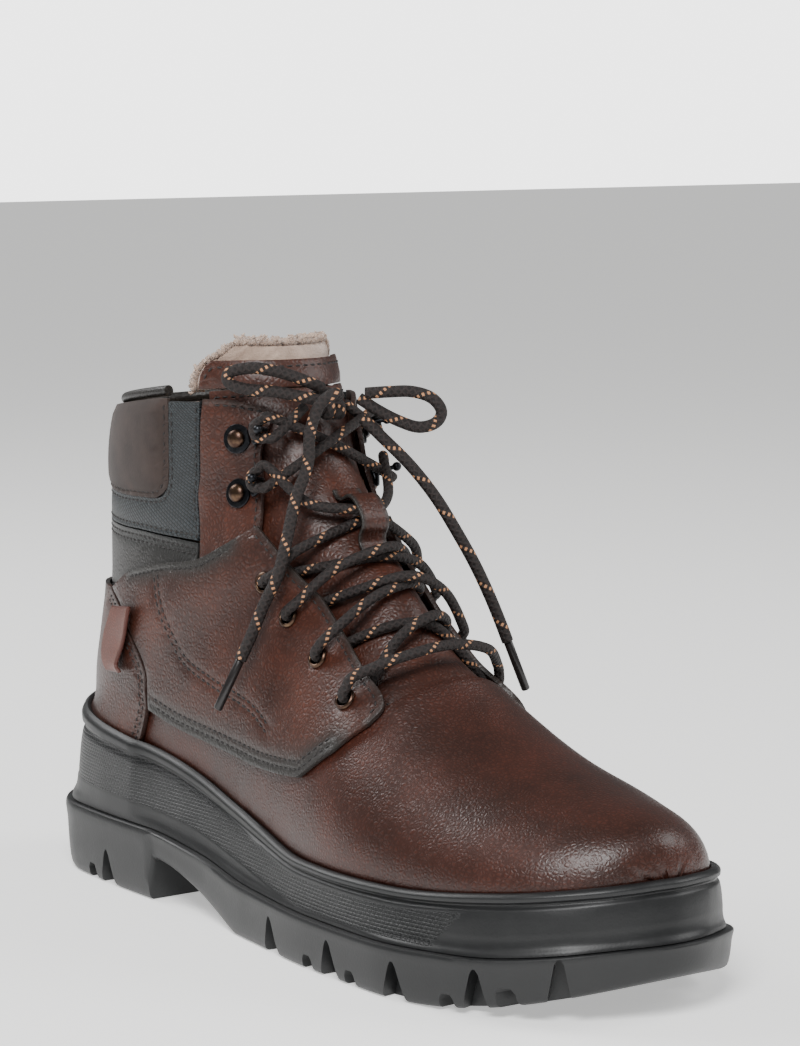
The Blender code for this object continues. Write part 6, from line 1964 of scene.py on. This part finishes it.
# ---------------------------------------------------------------- lace
@dataclass
class Lacing:
    """One round braided lace: its laced length, the bow's knot, two loops and two ends with their tips."""

    upper: Upper
    tongue: Tongue
    tip: float = 12.0
    radius: float = 1.75
    free_radius: float = 2.0
    knot_u: float = 0.925
    knot_half: float = 0.052
    aglet_length: float = 18.0
    loop_outer: tuple = ((-5.5, 21.5, 180), (-11, 22.5, 182.5), (-18, 27.5, 185.5), (-25, 33.5, 187), (-31, 39,
        185.5), (-31.8, 38.5, 182), (-28, 34, 180), (-21, 27.5, 179.3), (-13, 21.5, 177.4), (-7.6, 19.4, 176))
    loop_inner: tuple = ((5.6, 15.8, 176.5), (10, 11, 172.5), (15, 6, 169), (20, 1.5, 167), (24.5, -2, 168.5), (26,
        -3.2, 172.5), (23, -1.5, 177), (18, 3, 179), (12.5, 8.5, 178.8), (7, 14, 178.2))
    end_outer: tuple = ((-3.4, 15, 177.8), (-8, 11.5, 179), (-12.5, 13.5, 175), (-15.5, 14.5, 166), (-18.5, 11.5,
        156), (-24.5, 10, 145), (-30, 7, 133), (-34, 6.6, 121), (-36, 12, 110.5), (-39.5, 14.5, 100), (-42.6, 16.5,
        92))
    end_inner: tuple = ((4.8, 12.5, 170), (9.5, 7.6, 163.5), (16, 1, 154.5), (22, -5, 144), (27.5, -9.5, 132.5),
        (32.5, -13, 121.5), (36.5, -15.5, 111.5), (40, -17, 102.5), (43, -18, 94.5))

    def rise(self, k: int, side: int) -> list:
        """Lace coming up through an eyelet and over the facing's front edge."""
        u, v = self.upper.eyelet_places[k]
        local = ((7, 0, -2), (2.2, 0, -2), (0.3, 0, -0.9), (0, 0, 1.2), (0, 0, 3.4), (1.1, 0, 4.9), (3.6, 0, 5.5), (8,
            0, 5.7))
        return list(moved(local, self.upper.last.frame((u, side * v))))

    def turn(self, place_: tuple, side: int) -> list:
        """The lace's turn behind a hook's post."""
        t = self.tip
        local = ((t + 4.0, -3.0, 3.4), (t + 0.5, -3.1, 4.4), (t - 2.4, -2.2, 4.7), (t - 3.4, 0.0, 4.7), (t - 2.4, 2.2,
            4.7), (t + 0.5, 3.1, 4.4), (t + 4.0, 3.0, 3.4))
        return list(moved([(x, y * side, z) for x, y, z in local], self.upper.last.frame((place_[0], side
            * place_[1]))))

    def on_last(self, route: Sequence[tuple]) -> list:
        """Points lifted off the last."""
        r = np.array(route)
        return list(self.upper.last.at(r[:, :2], r[:, 2]))

    def strand(self, side: int, over: bool) -> list:
        """One half of the lacing, from its first eyelet up to the knot."""
        lift = 2.2 if over else -1.8
        route = self.rise(0, side)[::-1][1:]
        for k in (1, 2, 3):
            low, high = self.upper.eyelet_places[k - 1][0], self.upper.eyelet_places[k][0]
            start = lift - 0.4 if k == 1 else max(lift, 0.0) + 1.8
            route += self.on_last([(low + 0.30 * (high - low), side * 0.13, start), (0.5 * (low + high), 0.0, lift),
                (low + 0.72 * (high - low), -side * 0.13, min(lift, 0.0) - 0.4)])
            side = -side
            route += self.rise(k, side)
        route += self.on_last([(0.640, side * 0.15, 3.6), (self.tongue.keeper_place, 0.0, lift), (0.705, -side * 0.09,
            2.0)])
        side = -side
        route += self.turn(self.upper.hook_places[0], side)
        route += self.on_last([(0.832, 0.0, lift)])
        side = -side
        route += self.turn(self.upper.hook_places[1], side)
        return route + self.on_last([(self.knot_u, side * self.knot_half, 2.6)])

    def held(self) -> Object:
        """The laced length in one piece."""
        left, right = self.strand(-1, True), self.strand(1, False)
        bar = self.rise(0, -1)[-1:] + self.on_last([(0.474, -0.16, 5.6), (0.472, 0.0, 4.4), (0.474, 0.16, 5.6)])
        route = np.array(left[::-1] + bar + self.rise(0, 1)[-1:] + right)
        return tube("lacing_braid", evenly(through(route, per_span=8), 0.9), self.radius, LACE, 16)

    def knot(self) -> Object:
        """The knot: the lace wound tight round itself, then across its front."""
        matrix = self.upper.last.frame((self.knot_u, -0.0001))
        t = np.linspace(0, 1, 120)[:, None]
        wind = 2 * math.pi * 1.9 * t
        coil = np.concatenate([-2.7 + 5.4 * t, 3.9 * np.sin(wind), 2.6 + 2.6 * np.cos(wind)], 1)
        band = through([(-4.4, 1.6, 0.9), (-3.6, 3.6, 3.2), (-1.0, 3.4, 5.6), (1.4, 0.8, 6.2), (3.4, -2.2, 5.0), (4.4,
            -3.8, 2.6), (3.8, -3.2, 0.6)], per_span=10)
        core = through([(-4.6, -2.8, 1.8), (-2.2, -1.2, 2.4), (0.0, 0.0, 2.6), (2.2, 1.2, 2.4), (4.6, 2.8, 1.8)])
        parts = [tube(f"knot_part_{k}", evenly(moved(p, matrix), 0.7), r, LACE, 14) for k, (p, r) in
            enumerate(((coil, 1.7), (band, 1.75), (core, 1.9)))]
        return join("lace_knot_braid", parts)

    def free(self, name: str, route: tuple) -> tuple:
        """A free stretch of lace, and the points that it follows."""
        points = through(np.array(route) + [self.upper.last.centre_shift, 0, 0], per_span=8)
        fine = evenly(points, 0.9)
        return tube(name, fine, self.free_radius, LACE, 18), evenly(points, 4.0)

    def aglet(self, name: str, route: tuple) -> Object:
        """Film tip rolled tight on the end of the lace."""
        last = np.array(route[-1]) + [self.upper.last.centre_shift, 0, 0]
        along = unit(np.array(route[-1], float) - np.array(route[-2], float))
        matrix = along_z(last + along * 0.3, along)
        profile = [(0.0, 0.0), (1.35, 0.0), (1.5, 0.25), (1.5, self.aglet_length - 0.5), (1.3, self.aglet_length
            - 0.1), (1.1, self.aglet_length), (0.0, self.aglet_length)]
        return turned(name, profile, matrix, AGLET, 24)

    def build(self) -> None:
        """Makes and places the lace; the lengths and points of its free stretches are worked out but not kept."""
        place(self.held(), Body.BOOT, "braided_lace", "lacing")
        place(self.knot(), Body.BOOT, "braided_lace", "lace_knot")
        for word in ("outer", "inner"):
            for kind in ("loop", "end"):
                route = getattr(self, f"{kind}_{word}")
                cord, path = self.free(f"lace_{kind}_{word}_braid", route)
                place(cord, Body.BOOT, "braided_lace", f"lace_{kind}_{word}")
                tip = None
                if kind == "end":
                    tip = self.aglet(f"aglet_{word}_film", route)
                    place(tip, Body.BOOT, "aglet_plastic", f"aglet_{word}")
                float(run_length(path)[-1]) * MM
                [tuple(p * MM) for p in path]


def along_z(origin: Array, axis: Array) -> Matrix:
    """Matrix at a point whose Z is the given direction."""
    matrix = Vector(axis).to_track_quat("Z", "Y").to_matrix().to_4x4()
    matrix.translation = Vector(origin) * MM
    return matrix


# ---------------------------------------------------------------- label
@dataclass
class Label:
    """Plain leather flag sewn in by its rear edge."""

    last: Last
    edge: tuple = ((-34.5, 101.5, 98.5), (-37, 103, 76.0))
    thickness: float = 1.4

    def build(self) -> None:
        """Makes and places the flag."""
        top, low = self.last.find(self.edge, Side.OUTER)
        rows, cols = 26, 19
        verts, wax = [], []
        for s in np.linspace(0, 1, rows):
            spot = top + (low - top) * s
            reach = 0.72 + 0.28 * math.sin(math.pi * min(1.0, s + 0.15))
            normal = self.last.normal([spot])[0]
            for t in np.linspace(0, 1, cols):
                j = t * 3
                p = self.last.at([spot], 4.6 + 0.35 * j)[0] + np.array([-0.10, -1.0, 0.10]) * reach * 6.6 * j
                p = p + normal * (0.9 * t ** 3 + 0.25 * math.sin(3 * math.pi * s) * t)
                verts.append(p)
                wax.append(0.8 * math.exp(-min(s, 1 - s, 1 - t) / 0.07))
        flag = solid("side_label_leather", np.array(verts), quads(rows, cols), LEATHER_TAN)
        write_value(flag, "burnish", np.array(wax))
        place(thicken(flag, self.thickness, 0.0, 0.4, 60), Body.LABEL, "label_leather", "side_tab")


def main() -> None:
    """Builds the boot's looks in order."""
    logging.basicConfig(level=logging.INFO, format="%(name)s %(message)s")
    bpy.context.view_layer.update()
    last = Last()
    studio = Studio()
    studio.place_camera()
    upper, tongue = Upper(last), Tongue(last)
    Lacing(upper, tongue).build()
    upper.build()
    sole = Sole(last, upper.shell)
    sole.build()
    sole.footbed()
    Collar(upper).build()
    Linings(last).build()
    tongue.build()
    Hardware(upper).build()
    Label(last).build()
    studio.furnish()


if __name__ == "__main__":
    main()
